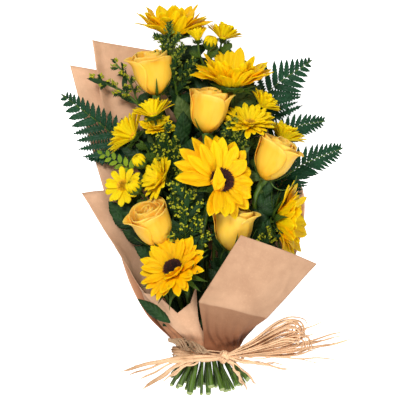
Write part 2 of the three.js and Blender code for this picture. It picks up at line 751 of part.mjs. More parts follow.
// ---------------------------------------------------------------- the paper wrap
// A point on the tie's oval, drawn in by some millimetres. Angle 0 is the bottom, 90 the right side.
function tiePoint(degrees, inset, y) {
  const [s, c] = [Math.sin(rad(degrees)), Math.cos(rad(degrees))];
  const bulge = (w) => Math.sign(w) * Math.abs(w) ** (2 / TIE.squareness);
  return [(TIE.halfWidth - inset) * bulge(s), y, TIE.z - (TIE.halfHeight - inset) * bulge(c)];
}

// A sheet's rows run across it. At the tie a row follows the oval, from one angle to another; the
// others are set by hand, in as many spans as the sheet has steps across, and smoothed in between.
function sheetGrid({ floor, across, tie, rows, along }) {
  const ovals = [NECK_Y, TIE_Y].map((y) =>
    Array.from({ length: across + 1 }, (_, j) => vec(tiePoint(lerp(tie.from, tie.to, j / across), tie.inset, y))),
  );
  const wide = rows.map((row) => {
    const line = new THREE.CatmullRomCurve3(row.map(vec));
    return Array.from({ length: across + 1 }, (_, j) => line.getPoint(j / across));
  });
  const all = [...ovals, ...wide];
  const lines = all[0].map((_, j) => smoothLine(all.map((row) => row[j]), along));
  for (const p of lines.flat()) p.z = Math.max(p.z, floor);
  return lines[0].map((_, i) => lines.map((line) => line[i]));
}

const NECK_Y = -192; // the paper's lower edge, just past the tie
const TIE_Y = -176; // the row where it leaves the tie

const SHEETS = {
  // The outer sheet lies flat on the floor under everything, and its two sides turn up.
  paper_outer: {
    floor: FLOOR_SHEET,
    across: 12,
    along: [1, 2, 1, 2, 1, 1],
    tie: { from: -96, to: 96, inset: 2.9 },
    rows: [
      [[-78, -134, 34], [-52, -134, 3], [0, -134, 0.4], [46, -134, 4], [70, -138, 38]],
      [[-102, -88, 30], [-66, -84, 1], [0, -80, 0.4], [62, -84, 2], [98, -96, 40]],
      [[-132, 18, 18], [-84, 14, 0.4], [0, 10, 0.4], [74, 10, 0.4], [122, 14, 32]],
      [[-152, 90, 12], [-96, 92, 0.4], [-20, 92, 0.4], [44, 92, 0.4], [84, 92, 6]],
      [[-173, 179, 10], [-112, 170, 0.4], [-50, 162, 0.4], [10, 156, 0.4], [58, 150, 2]],
    ],
  },
  // The inner sheet lies on it, higher up the bouquet, with its left corner curling up.
  paper_inner: {
    floor: 2.9,
    across: 6,
    along: [1, 1, 1, 1, 1],
    tie: { from: -48, to: 48, inset: 4.1 },
    rows: [
      [[-34, -124, 4], [-12, -124, 3], [12, -124, 3], [34, -124, 4]],
      [[-58, 0, 3], [-20, 0, 3], [18, 0, 3], [54, 0, 3]],
      [[-129, 112, 12], [-72, 110, 3], [-14, 108, 3], [44, 106, 3]],
      [[-146, 210, 22], [-86, 202, 6], [-28, 193, 3], [26, 187, 3]],
    ],
  },
  // The left side of the wrap stands up and leans out.
  paper_left: {
    floor: 4,
    across: 6,
    along: [1, 2, 1, 1, 2],
    tie: { from: -144, to: -64, inset: 4.1 },
    rows: [
      [[-56, -134, 60], [-70, -134, 46], [-69, -134, 31], [-62, -134, 19]],
      [[-84, -102, 64], [-88, -98, 48], [-84, -96, 30], [-72, -95, 14]],
      [[-106, -66, 60], [-102, -62, 44], [-92, -60, 26], [-78, -58, 12]],
      [[-159, 19, 50], [-138, 22, 37], [-116, 22, 22], [-94, 22, 11]],
    ],
  },
  // The pleat on the front left, with a notch in its top edge.
  paper_pleat: {
    floor: 0,
    across: 4,
    along: [1, 2, 2],
    tie: { from: -152, to: -184, inset: 4.1 },
    rows: [
      [[-46, -146, 60], [-27, -145, 62], [-11, -144, 56]],
      [[-68, -108, 74], [-42, -127, 74], [-22, -104, 70]],
    ],
  },
  // The front flap: a free end of paper that stands over the right of the wrap.
  paper_front: {
    floor: 0,
    across: 6,
    along: [1, 2, 2, 2],
    tie: { from: -176, to: -256, inset: 2.5 },
    rows: [
      [[-14, -134, 76], [12, -141, 78], [44, -146, 66], [70, -146, 44]],
      [[-10, -92, 96], [30, -105, 104], [70, -110, 94], [102, -107, 64]],
      [[40, -33, 116], [72, -44, 118], [104, -56, 106], [135, -69, 84]],
    ],
  },
};

for (const [name, sheet] of Object.entries(SHEETS)) {
  addPiece(name, COLOUR.paper, 0.85, solid(shell(sheetGrid(sheet), PAPER)));
}

// ---------------------------------------------------------------- the raffia
const KNOT = [18, -185, 54];
const KNOT_SIZE = [8, 8, 4.6];

// The band hugs the wrap: its section shows three wound strands outside and is flat inside.
const BAND_SECTION = [[-6, 0.7], [-5, 3.4], [-2.4, 2.6], [0, 3.9], [2.4, 2.6], [5, 3.4], [6, 0.7]];
const BAND_STEPS = 20;

function bandHoop() {
  const rings = Array.from({ length: BAND_STEPS }, (_, i) =>
    BAND_SECTION.map(([along, out]) => vec(tiePoint((360 * i) / BAND_STEPS, -out, TIE.y + along))),
  );
  return solid(loft(rings, true));
}

// A flat strand along a smooth curve, with a low ridge.
function strand(stops, steps, halfWidth) {
  const line = smoothLine(stops.map(vec), steps);
  const rings = line.map((p, k) => {
    const ahead = line[Math.min(k + 1, line.length - 1)].clone().sub(line[Math.max(k - 1, 0)]);
    const side = V(0, 0, 1).cross(ahead).normalize().multiplyScalar(halfWidth);
    return [p.clone().add(side), p.clone().add(V(0, 0, 1.1)), p.clone().sub(side)];
  });
  return solid(loft(rings));
}

// The bow's loops leave the knot to the right and come back, fanned out and one over the other.
const LOOPS = 4;
function bowLoop(i) {
  const [x, y, z] = KNOT;
  const swing = rad(5 + 10 * i);
  const reach = 106 - 6 * Math.abs(i - 1);
  const rise = 5 + 3 * ((i * 2) % 5);
  const at = ([along, aside, up]) => [
    x + along * Math.cos(swing) - aside * Math.sin(swing),
    y + along * Math.sin(swing) + aside * Math.cos(swing),
    z + up,
  ];
  const out = [[5, 0.6, 1], [0.45 * reach, 3, rise], [0.88 * reach, 5.5, rise]];
  const back = [[0.88 * reach, -5.5, rise - 4], [0.45 * reach, -3, rise - 5], [5, -0.6, -1]];
  return strand([...out, [reach, 0, rise - 2], ...back].map(at), [1, 2, 1, 1, 2, 1], 1.5);
}

// Loose ends: where each one stops.
const TAIL_ENDS = [
  [-111, -208, 20], [-92, -190, 36], [-84, -232, 16], [-48, -204, 52],
  [50, -236, 24], [100, -204, 38], [166, -194, 38], [182, -166, 40], [160, -140, 52],
];
function tail([x, y, z], i) {
  const away = V(x, y, 0).sub(V(KNOT[0], KNOT[1], 0)).normalize();
  const start = vec(KNOT).addScaledVector(away, 5).add(V(0, 0, (i % 3) - 1));
  const middle = [lerp(start.x, x, 0.5), lerp(start.y, y, 0.36), Math.max(KNOT[2], z) + 1 - (i % 2)];
  return strand([start.toArray(), middle, [x, y, z]], [1, 2], 1 + 0.25 * (i % 3));
}

addPiece("raffia_band", COLOUR.raffia, 0.8, bandHoop());
addPiece("raffia_bow", COLOUR.raffia, 0.8, Manifold.union([
  solid(new THREE.SphereGeometry(1, 8, 5).scale(...KNOT_SIZE).translate(...KNOT)),
  ...Array.from({ length: LOOPS }, (_, i) => bowLoop(i)),
  ...TAIL_ENDS.map(tail),
]));

// ---------------------------------------------------------------- putting it together
// The extras go on, piece by piece, each tried until it stands clear of every other piece.
const boxOf = (made) => {
  const { min, max } = made.boundingBox();
  return new THREE.Box3(vec(min), vec(max));
};
const TRIES = 4;

function attachExtras() {
  for (const piece of pieces) piece.box = boxOf(piece.body);
  for (const piece of pieces) {
    const choices = [];
    const kept = [];
    for (const extra of piece.extras) {
      choices.push(-1);
      kept.push(null);
      for (let attempt = 0; attempt < TRIES; attempt++) {
        const made = extra(attempt);
        const near = boxOf(made).expandByScalar(2 * CLEAR);
        const others = pieces.filter((other) => other !== piece && other.box.intersectsBox(near));
        if (others.every((other) => made.minGap(other.body, 2 * CLEAR) >= LEAST_GAP)) {
          choices[choices.length - 1] = attempt;
          kept[kept.length - 1] = made;
          break;
        }
      }
    }
    if (piece.finish) piece.body = piece.finish(choices, kept);
    else piece.body = Manifold.union([piece.body, ...kept.filter(Boolean)]);
    piece.box = boxOf(piece.body);
  }
}
attachExtras();

const bouquet = new THREE.Group();
bouquet.name = "bouquet";
for (const piece of pieces) {
  const material = new THREE.MeshStandardMaterial({
    color: piece.colour,
    roughness: piece.roughness,
    metalness: 0,
    side: THREE.DoubleSide,
  });
  const mesh = new THREE.Mesh(geometryOf(piece.body), material);
  mesh.name = piece.name;
  bouquet.add(mesh);
}

// The origin is on the floor, under the middle of the whole bouquet.
const whole = new THREE.Box3().setFromObject(bouquet);
const middle = whole.getCenter(V());
bouquet.position.set(-middle.x, -middle.y, -whole.min.z);

export default bouquet;
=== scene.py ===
"""A mixed bouquet in brown paper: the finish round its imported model.

Every piece is made in millimetres in the bouquet's own layout, where X = 0 is the middle of the tie,
Y runs from the cut stems to the blooms and Z is up. frame_points() carries it into the frame.
"""
import functools
import math
from math import cos, pi, radians, sin

import bpy
import numpy as np
from bpy.types import NodeSocket, Operator, Panel, PropertyGroup
from mathutils import Matrix, Vector, noise


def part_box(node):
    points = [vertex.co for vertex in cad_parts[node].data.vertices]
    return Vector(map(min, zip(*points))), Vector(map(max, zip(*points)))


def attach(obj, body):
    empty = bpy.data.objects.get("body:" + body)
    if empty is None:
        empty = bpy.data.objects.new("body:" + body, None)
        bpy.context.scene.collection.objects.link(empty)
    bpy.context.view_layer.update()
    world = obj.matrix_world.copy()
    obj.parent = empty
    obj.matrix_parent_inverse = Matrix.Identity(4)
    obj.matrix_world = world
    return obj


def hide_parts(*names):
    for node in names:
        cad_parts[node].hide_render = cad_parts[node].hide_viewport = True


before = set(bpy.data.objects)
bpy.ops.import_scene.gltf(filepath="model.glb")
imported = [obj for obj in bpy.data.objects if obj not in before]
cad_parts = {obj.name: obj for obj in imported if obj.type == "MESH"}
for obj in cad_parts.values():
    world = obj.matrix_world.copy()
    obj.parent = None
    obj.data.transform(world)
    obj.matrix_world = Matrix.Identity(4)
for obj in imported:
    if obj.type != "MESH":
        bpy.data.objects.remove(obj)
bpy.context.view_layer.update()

bl_info = {
    "name": "Mixed bouquet",
    "version": (1, 0, 0),
    "blender": (4, 5, 0),
    "location": "3D View > Sidebar > Bouquet",
    "description": "Petals, leaves, paper and raffia of a tied bouquet that lies on its back",
    "category": "Object",
}

MM = 0.001
GOLDEN_ANGLE = radians(137.508)
# The largest random turn, in radians.
ANY_TURN = 6.28
UP = np.array([0.0, 0.0, 1.0])

# ---- the layout, in millimetres
# The tie is a squarish oval. Each stem runs through it in a slot: its column, from -4 at the left to 4,
# and its layer, from 0 at the back to 2.
TIE_Y, TIE_Z = -184.0, 24.6
TIE_HALF_WIDTH, TIE_HALF_HEIGHT, TIE_SQUARENESS = 43.0, 20.0, 2.6
SLOT_PITCH, LAYER_PITCH, LAST_COLUMN = 7.4, 8.2, 4
# The stems run straight this far on both sides of the tie's middle, and then fan out to their cuts:
# the outer columns by FAN_ANGLE, in degrees, and each layer by LAYER_TURN more.
STRAIGHT, FAN_ANGLE, LAYER_TURN, CUT_LENGTH = 9.0, 36.0, 6.5, 38.0
# A stem's points for each span between its stops.
STEM_STEPS = 6
STEM_RADIUS = {"sunflower": 3.5, "rose": 3.0, "daisy": 2.2, "goldenrod": 1.7, "fern": 1.6, "leafy": 1.8}

# What a sunflower has unless its own lines say otherwise. near is how far the petals on the viewer's
# side stand up. inner counts the short petals in the middle, and wide is a petal's half width as a
# share of the radius. longest is how much longer the petals get towards a turn, and bare gives the turns
# between which there are none. folded holds the petals that fold over the middle: the turn of a petal's
# root, the way it points, its length as a share of the radius, its lift and its droop.
USUAL_SUNFLOWER = dict(near=0, inner=0, wide=0.175, bract_lift=8, longest=(0, 0), bare=(0, 0), folded=[])
SUNFLOWERS = [
    dict(USUAL_SUNFLOWER, at=(17, 34, 112), faces=(0.3, 0.3, 0.9), radius=54, cup=21, rays=(18, 15),
         wide=0.15, bract=0.4, bract_lift=-4, slot=(0, 2), via=(-8, -40, 56), longest=(0.33, 176),
         bare=(200, 246), folded=[(-112, 98, 0.56, 34, -16), (-146, 24, 0.34, 40, -16)]),
    dict(USUAL_SUNFLOWER, at=(-43, -74, 104), faces=(-0.38, 0.42, 0.82), radius=44, cup=28, rays=(18, 15),
         wide=0.15, bract=0.85, bract_lift=-2, slot=(-2, 2),
         folded=[(-72, -72, 0.36, 92, -10), (-36, -36, 0.36, 90, -10), (-100, -100, 0.30, 84, 0),
                 (-54, -54, 0.5, 70, -14), (-90, -90, 0.46, 66, -12), (-18, -18, 0.46, 66, -12)]),
    dict(USUAL_SUNFLOWER, at=(30, 157, 72), faces=(0.05, 0.93, 0.36), radius=55, cup=33, near=26,
         rays=(16, 13), inner=12, bract=0.35, bract_lift=-4, slot=(2, 0), via=(26, 40, 42)),
    dict(USUAL_SUNFLOWER, at=(91, -15, 64), faces=(0.95, -0.04, 0.3), radius=50, cup=34, near=24,
         rays=(14, 12), inner=8, wide=0.2, bract=0.62, slot=(4, 2), via=(72, -80, 44)),
    dict(USUAL_SUNFLOWER, at=(-44, 221, 60), faces=(0, 0.96, 0.28), radius=51, cup=36, near=24,
         rays=(15, 12), inner=9, bract=0.3, slot=(0, 0), via=(-20, 60, 26)),
]
# roll turns a rose from where one of its petals faces the viewer, open is how far its lips roll, and
# flap is how far the lip of the petal in front rolls beside the others.
ROSES = [
    dict(at=(-69, 168, 74), faces=(-0.16, 0.93, 0.26), slot=(-2, 0), via=(-44, 40, 28),
         roll=26, open=1.25, flap=0.9),
    dict(at=(1, 120, 88), faces=(0.12, 0.95, 0.2), slot=(0, 1), via=(-4, 30, 50),
         roll=-14, open=1.0, flap=0.35),
    dict(at=(81, 60, 92), faces=(0.42, 0.87, 0.2), slot=(3, 1), via=(59, -44, 41),
         roll=-38, open=1.2, flap=0.7),
    dict(at=(-68, -22, 92), faces=(-0.34, 0.8, 0.46), slot=(-3, 2), roll=24, open=1.6, flap=0.5),
    dict(at=(32, -27, 82), faces=(0.06, 0.96, 0.24), slot=(1, 2), roll=-24, open=1.1, flap=0.35),
]
ROSE_HEIGHT, ROSE_RADIUS = 53.0, 23.5
# How far below a head's middle its stem ends, and how far it runs straight before that.
SUNFLOWER_SETBACK, ROSE_SETBACK, HEAD_RUN = 10.0, ROSE_HEIGHT / 2 + 5, 22
# A flower's middle, as a share of its radius.
EYE_SHARE = 0.26
# A spray's heads are blooms, with petals counted ring by ring from the outside, or buds of a size.
DAISY_SPRAYS = [
    dict(name="daisy_spray_top", slot=(1, 0), fork=(8, 165, 42), heads=[
        dict(at=(19, 215, 52), faces=(0.25, 0.95, 0.15), radius=24, cup=40, near=34, petals=(19, 16, 12)),
        dict(at=(-13, 212, 70), faces=(-0.1, 0.97, 0.2), radius=17, cup=60, near=14, petals=(15, 12, 8)),
        dict(at=(3, 206, 66), faces=(0.2, 0.9, 0.3), bud=9)]),
    dict(name="daisy_spray_left", slot=(-3, 1), fork=(-62, 40, 40), heads=[
        dict(at=(-68, 117, 74), faces=(-0.22, 0.95, 0.22), radius=27, cup=36, near=42, petals=(26, 22, 17)),
        dict(at=(-95, 90, 62), faces=(-0.8, 0.55, 0.22), radius=34, cup=34, near=40, petals=(30, 26, 20)),
        dict(at=(-64, 99, 68), faces=(0.05, 0.8, 0.6), radius=23, cup=34, near=10, petals=(17, 14, 10))]),
    dict(name="daisy_spray_low_left", slot=(-4, 2), fork=(-66, -70, 54), heads=[
        dict(at=(-106, 28, 72), faces=(-0.3, 0.3, 0.9), radius=25, cup=18, near=0, petals=(11, 5, 0)),
        dict(at=(-57, 36, 84), faces=(-0.76, 0.34, 0.55), radius=29, cup=36, near=6, petals=(17, 14, 9)),
        dict(at=(-85, 58, 74), faces=(-0.5, 0.7, 0.4), bud=9),
        dict(at=(-92, 26, 82), faces=(-0.55, 0.6, 0.45), bud=10)]),
    dict(name="daisy_spray_right", slot=(2, 1), fork=(50, 10, 46), heads=[
        dict(at=(51, 104, 84), faces=(0.03, 0.82, 0.56), radius=33, cup=24, near=4, petals=(22, 19, 13)),
        dict(at=(69, 129, 60), faces=(0.6, 0.74, 0.25), radius=23, cup=38, near=30, petals=(19, 16, 11)),
        dict(at=(95, 88, 50), faces=(0.42, 0.86, 0.25), radius=28, cup=36, near=30, petals=(21, 18, 12))]),
]
# points carry a spray's axis on from the tie. Its side branches stand along the last spread millimetres
# and are up to reach long. florets names their finish, and a second axis may fork off the first.
GOLDENRODS = [
    dict(name="goldenrod_top", slot=(-1, 0), points=[(-36, 120, 44), (-49, 209, 86)], spread=78, reach=36,
         branches=15, florets="green goldenrod"),
    dict(name="goldenrod_left", slot=(-3, 0), points=[(-66, 92, 36), (-98, 140, 44), (-141, 163, 46)],
         spread=52, reach=12, branches=8, second=[(-88, 130, 43), (-98, 158, 50), (-116, 182, 52)]),
    dict(name="goldenrod_mid_left", slot=(-2, 1), points=[(-40, 20, 58), (-52, 88, 80)], spread=68, reach=30,
         branches=12),
    dict(name="goldenrod_centre", slot=(-1, 2), points=[(-26, -50, 84), (-27, 26, 104)], spread=88, reach=36,
         branches=15),
    dict(name="goldenrod_mid_right", slot=(1, 1), points=[(30, 40, 58), (32, 100, 94)], spread=60, reach=24,
         branches=13, florets="green goldenrod"),
    dict(name="goldenrod_right", slot=(2, 2), points=[(44, -84, 66), (78, -32, 76)], spread=52, reach=20,
         branches=13),
]
# blade is how much of a frond's axis bears side branches. port and starboard are the longest of them
# at its left and its right.
FERNS = [
    dict(name="fern_left", slot=(-4, 0), points=[(-78, 40, 26), (-120, 92, 34), (-184, 143, 44)],
         blade=134, port=68, starboard=32, port_count=10, starboard_count=16),
    dict(name="fern_right_top", slot=(3, 0), points=[(52, 90, 24), (72, 142, 30), (131, 187, 36)],
         blade=120, port=56, starboard=68, port_count=14, starboard_count=11),
    dict(name="fern_right_mid", slot=(4, 0), points=[(66, 60, 26), (104, 100, 32), (147, 110, 36)],
         blade=84, port=22, starboard=26, port_count=13, starboard_count=13),
    dict(name="fern_right_low", slot=(4, 1), points=[(72, -10, 30), (106, 46, 42), (168, 75, 48)],
         blade=114, port=32, starboard=36, port_count=16, starboard_count=16),
]
TWIGS = [
    dict(name="leafy_twig_left", slot=(-4, 1), points=[(-62, -66, 36), (-107, -12, 48)], leaves=8,
         length=34),
    dict(name="leafy_twig_mid", slot=(-1, 1), points=[(-26, -20, 52), (-30, 92, 66)], leaves=10, length=36),
    dict(name="leafy_twig_right", slot=(3, 2), points=[(55, -80, 60), (70, 14, 70)], leaves=10, length=32),
]

# ---- small helpers
def middle_shift():
    """How far the frame's origin is from the layout's, in metres: the band's middle is on X = 0."""
    low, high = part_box("raffia_band")
    return np.array([(low.x + high.x) / 2, (low.y + high.y) / 2 - TIE_Y * MM, 0.0])


SHIFT = middle_shift()


def frame_points(points):
    """Layout points, in millimetres, as the frame's, in metres."""
    return np.asarray(points, float) * MM + SHIFT


def vary(a, b):
    """A repeatable number from -1 to 1 for two numbers."""
    s = sin(a * 127.1 + b * 311.7) * 43758.5453
    return 2 * (s - math.floor(s)) - 1


def pose(at, faces):
    """The matrix that carries a thing built round +Z to a place, facing a way."""
    turn = Vector(UP).rotation_difference(Vector(faces).normalized())
    return Matrix.Translation(at) @ turn.to_matrix().to_4x4()


def toward_viewer(faces):
    """The turn, in degrees, of the side of a posed thing that looks up."""
    turn = Vector(UP).rotation_difference(Vector(faces).normalized())
    up = turn.inverted() @ Vector(UP)
    return math.degrees(math.atan2(up.y, up.x))


def moved(points, matrix):
    """Points carried by a 4 by 4 matrix."""
    m = np.array(matrix)
    return points @ m[:3, :3].T + m[:3, 3]


def spun(degrees):
    """A turn round +Z."""
    return Matrix.Rotation(radians(degrees), 4, "Z")


def smooth(knots, x):
    """A smooth curve through (x, y) knots."""
    kx, ky = np.array(knots, float).T
    m = np.gradient(ky, kx)
    i = np.clip(np.searchsorted(kx, x, side="right") - 1, 0, len(kx) - 2)
    h = kx[i + 1] - kx[i]
    t = (x - kx[i]) / h
    rise = (2 * t**3 - 3 * t**2 + 1) * ky[i] + (3 * t**2 - 2 * t**3) * ky[i + 1]
    return rise + h * ((t**3 - 2 * t**2 + t) * m[i] + (t**3 - t**2) * m[i + 1])


def smooth_line(stops, steps):
    """Points on the centripetal spline through some stops, with steps points for each span."""
    p = np.array(stops, float)
    p = np.vstack([2 * p[0] - p[1], p, 2 * p[-1] - p[-2]])
    gaps = np.maximum(np.linalg.norm(np.diff(p, axis=0), axis=1) ** 0.5, 0.03)
    line = [p[1]]
    for k in range(1, len(p) - 2):
        a, b, c, d = p[k - 1 : k + 3]
        g0, g1, g2 = gaps[k - 1 : k + 2]
        leave = ((b - a) / g0 - (c - a) / (g0 + g1) + (c - b) / g1) * g1
        reach = ((c - b) / g1 - (d - b) / (g1 + g2) + (d - c) / g2) * g1
        for i in range(1, steps + 1):
            t = i / steps
            line.append(
                (2 * t**3 - 3 * t**2 + 1) * b + (t**3 - 2 * t**2 + t) * leave
                + (3 * t**2 - 2 * t**3) * c + (t**3 - t**2) * reach
            )
    return np.array(line)


def on_line(line, share):
    """The point at a share of a line's length, and the way it runs there."""
    reach = np.concatenate([[0], np.cumsum(np.linalg.norm(np.diff(line, axis=0), axis=1))])
    at = np.clip(share, 0, 1) * reach[-1]
    k = min(np.searchsorted(reach, at, side="right") - 1, len(line) - 2)
    t = (at - reach[k]) / (reach[k + 1] - reach[k])
    way = line[k + 1] - line[k]
    return line[k] + t * way, way / np.linalg.norm(way)


def length_of(line):
    """A line's whole length."""
    return float(np.linalg.norm(np.diff(line, axis=0), axis=1).sum())


def unit(v):
    """A vector's way, one long."""
    v = np.asarray(v, float)
    return v / np.linalg.norm(v)


def slot_point(slot):
    """Where a slot's stem passes through the middle of the tie."""
    return np.array([slot[0] * SLOT_PITCH, TIE_Y, TIE_Z + (slot[1] - 1) * LAYER_PITCH])


def stem_line(slot, points):
    """A stem's line from its cut end, straight through the tie and on through its points."""
    column, layer = slot
    share = column / LAST_COLUMN
    lean = radians(FAN_ANGLE * share + LAYER_TURN * (layer - 1) + 2 * vary(column + 3, layer))
    length = CUT_LENGTH * (1 - 0.22 * share * share) + 7 * vary(column, layer)
    below = slot_point(slot) + (0, -STRAIGHT, 0)
    above = slot_point(slot) + (0, STRAIGHT, 0)
    end = below + (sin(lean) * length, -cos(lean) * length, (layer - 1) * 3)
    return smooth_line([end, below, above, *points], STEM_STEPS)


def head_stops(head, setback):
    """A head stem's stops above the tie. It ends a setback below the head's middle."""
    back = unit(head["faces"])
    top = np.array(head["at"], float) - back * setback
    via = [head["via"]] if "via" in head else []
    return [*via, top - back * HEAD_RUN, top]


# ---- building meshes
LEAF_THICKNESS = 0.5


class Skin:
    """The points and faces of one piece. Each point keeps its place on its petal or leaf: across
    from -1 to 1, along from 0 to 1, and a tone that the whole petal shares."""

    def __init__(self):
        self.points, self.quads, self.places, self.slots, self.used = [], [], [], [], 0

    def add(self, points, quads, place, slot=0):
        """Adds a body. slot is the number of its faces' material."""
        self.points.append(points)
        self.quads.append(quads + self.used)
        self.places.append(place)
        self.slots.append(np.full(len(quads), slot))
        self.used += len(points)

    def sheet(self, grid, thickness, tone, slot=0, thin_edge=0.4):
        """A thin closed sheet over a grid of points, rows along it and columns across."""
        rows, cols = grid.shape[:2]
        normal = normals(grid)
        across = np.linspace(-1, 1, cols)
        half = 0.5 * thickness * (1 - (1 - thin_edge) * across[None, :, None] ** 4)
        upper, lower = grid + normal * half, grid - normal * half
        along = np.linspace(0, 1, rows)
        place = np.stack(np.broadcast_arrays(across[None, :], along[:, None], tone), -1).reshape(-1, 3)
        self.add(
            np.concatenate([upper.reshape(-1, 3), lower.reshape(-1, 3)]),
            sheet_faces(rows, cols),
            np.concatenate([place, place]),
            slot,
        )

    def turned(self, profile, sides, matrix, tone):
        """A turned body: the profile is radius and height pairs, from the foot to the top."""
        angle = np.arange(sides) * 2 * pi / sides
        radius, height = np.array(profile, float).T[:, :, None]
        rings = np.broadcast_arrays(radius * np.cos(angle), radius * np.sin(angle), height)
        points = np.stack(rings, -1).reshape(-1, 3)
        index = np.arange(len(points)).reshape(-1, sides)
        ahead = np.roll(index, -1, axis=1)
        quads = np.stack([index[:-1], ahead[:-1], ahead[1:], index[1:]], -1).reshape(-1, 4)
        along = np.repeat(np.linspace(0, 1, len(profile)), sides)
        place = np.stack([np.zeros(len(points)), along, np.full(len(points), tone)], 1)
        self.add(moved(points, matrix), quads, place)

    def leaf(self, root, way, length, half_width, outline, tone, slot=0, up=UP, **bends):
        """A leaf along a way, with a row for each point of its outline. bends are what blade() takes."""
        grid = blade(length, half_width, outline, **{"rows": len(outline), **bends})
        self.sheet(along_way(grid, root, way, up), LEAF_THICKNESS, tone, slot)

    def piece(self, name, materials, record_slot, *nodes):
        """The finished object, which rides on the bouquet and stands for some of its nodes."""
        mesh = bpy.data.meshes.new(name)
        points = frame_points(np.concatenate(self.points))
        quads = np.concatenate(self.quads)
        mesh.vertices.add(len(points))
        mesh.vertices.foreach_set("co", points.astype(np.float32).ravel())
        mesh.loops.add(quads.size)
        mesh.loops.foreach_set("vertex_index", quads.astype(np.int32).ravel())
        mesh.polygons.add(len(quads))
        mesh.polygons.foreach_set("loop_start", np.arange(0, quads.size, 4, dtype=np.int32))
        mesh.polygons.foreach_set("material_index", np.concatenate(self.slots).astype(np.int32))
        mesh.update(calc_edges=True)
        mesh.validate()
        mesh.shade_smooth()
        place = mesh.attributes.new("place", "FLOAT_VECTOR", "POINT")
        place.data.foreach_set("vector", np.concatenate(self.places).astype(np.float32).ravel())
        for material in materials:
            mesh.materials.append(material)
        settle(mesh, record_slot, *nodes)


def normals(grid):
    """The way that a grid of points faces at each of them."""
    normal = np.cross(np.gradient(grid, axis=0), np.gradient(grid, axis=1))
    return normal / np.maximum(np.linalg.norm(normal, axis=2, keepdims=True), 1e-9)


def sheet_faces(rows, cols):
    """The faces of a thin closed sheet: upper points first, then lower ones, then its rim."""
    index = np.arange(rows * cols).reshape(rows, cols)
    a, b, c, d = index[:-1, :-1], index[1:, :-1], index[1:, 1:], index[:-1, 1:]
    upper = np.stack([a, b, c, d], -1).reshape(-1, 4)
    lower = np.stack([a, d, c, b], -1).reshape(-1, 4) + rows * cols
    rim = np.concatenate([index[:, 0], index[-1, 1:], index[-2::-1, -1], index[0, -2:0:-1]])
    ahead = np.roll(rim, -1)
    size = rows * cols
    edge = np.stack([ahead, rim, rim + size, ahead + size], -1)
    return np.concatenate([upper, lower, edge])


def new_object(name, data):
    """An object in the scene: a mesh, curve, lamp or camera."""
    made = bpy.data.objects.new(name, data)
    bpy.context.scene.collection.objects.link(made)
    return made


def settle(mesh, record_slot, *nodes):
    """Makes a piece of a finished mesh: it rides on the bouquet and stands for some of its nodes."""
    made = new_object(mesh.name, mesh)
    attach(made, "root")
    if nodes:
        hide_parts(*nodes)


def blade(length, half_width, outline, lift=0.0, droop=0.0, cup=0.0, furrow=0.0, twist=0.0,
          wave=0.0, waves=3.0, phase=0.0, rows=11, cols=7):
    """A petal or leaf as a grid: it leaves along +X with its upper side to +Z. lift is its slope at the
    root in degrees, droop how that changes and twist how it turns over. cup, furrow and wave are shares
    of the half width."""
    s = np.linspace(0, 1, rows)[:, None]
    t = np.linspace(-1, 1, cols)[None, :]
    slope = np.radians(lift + droop * s)
    mid = (slope[1:] + slope[:-1]) / 2
    x = np.concatenate([[[0.0]], np.cumsum(np.cos(mid), axis=0)]) * length / (rows - 1)
    z = np.concatenate([[[0.0]], np.cumsum(np.sin(mid), axis=0)]) * length / (rows - 1)
    width = half_width * np.maximum(smooth(outline, s), 0.01)
    rise = width * (cup * t**2 + furrow * np.cos(2 * pi * t))
    rise = rise + wave * width * np.abs(t) ** 1.5 * np.sin(2 * pi * (waves * s + 0.25 * t) + phase)
    roll = radians(twist) * s
    side = width * t * np.cos(roll) - rise * np.sin(roll)
    up = width * t * np.sin(roll) + rise * np.cos(roll)
    return np.stack([x - up * np.sin(slope), side, z + up * np.cos(slope)], -1)


def along_way(grid, root, way, up=UP):
    """Carries a blade to its root, so that it runs along way with its upper side towards up."""
    x = unit(way)
    y = unit(np.cross(up, x))
    z = np.cross(x, y)
    return grid @ np.array([x, y, z]) + np.asarray(root, float)


# The finishes by their names here, once they are made.
FINISH = {}


# ---- nodes
class NodeMaker:
    """Adds nodes to a tree. A node's input is a value, or another node's output to link to it."""

    def __init__(self, tree):
        self.tree = tree

    def put(self, kind, sockets, **options):
        """Adds a node with its options and inputs set, and gives its outputs."""
        node = self.tree.nodes.new(kind)
        for key, value in options.items():
            setattr(node, key, value)
        for key, value in sockets.items():
            if isinstance(value, NodeSocket):
                self.tree.links.new(value, node.inputs[key])
            else:
                node.inputs[key].default_value = value
        return node.outputs

    def math(self, operation, *values):
        return self.put("ShaderNodeMath", dict(enumerate(values)), operation=operation)[0]

    def times(self, a, b):
        return self.math("MULTIPLY", a, b)

    def plus(self, a, b):
        return self.math("ADD", a, b)

    def minus(self, a, b):
        return self.math("SUBTRACT", a, b)

    def vector(self, x, y, z):
        return self.put("ShaderNodeCombineXYZ", {0: x, 1: y, 2: z})[0]


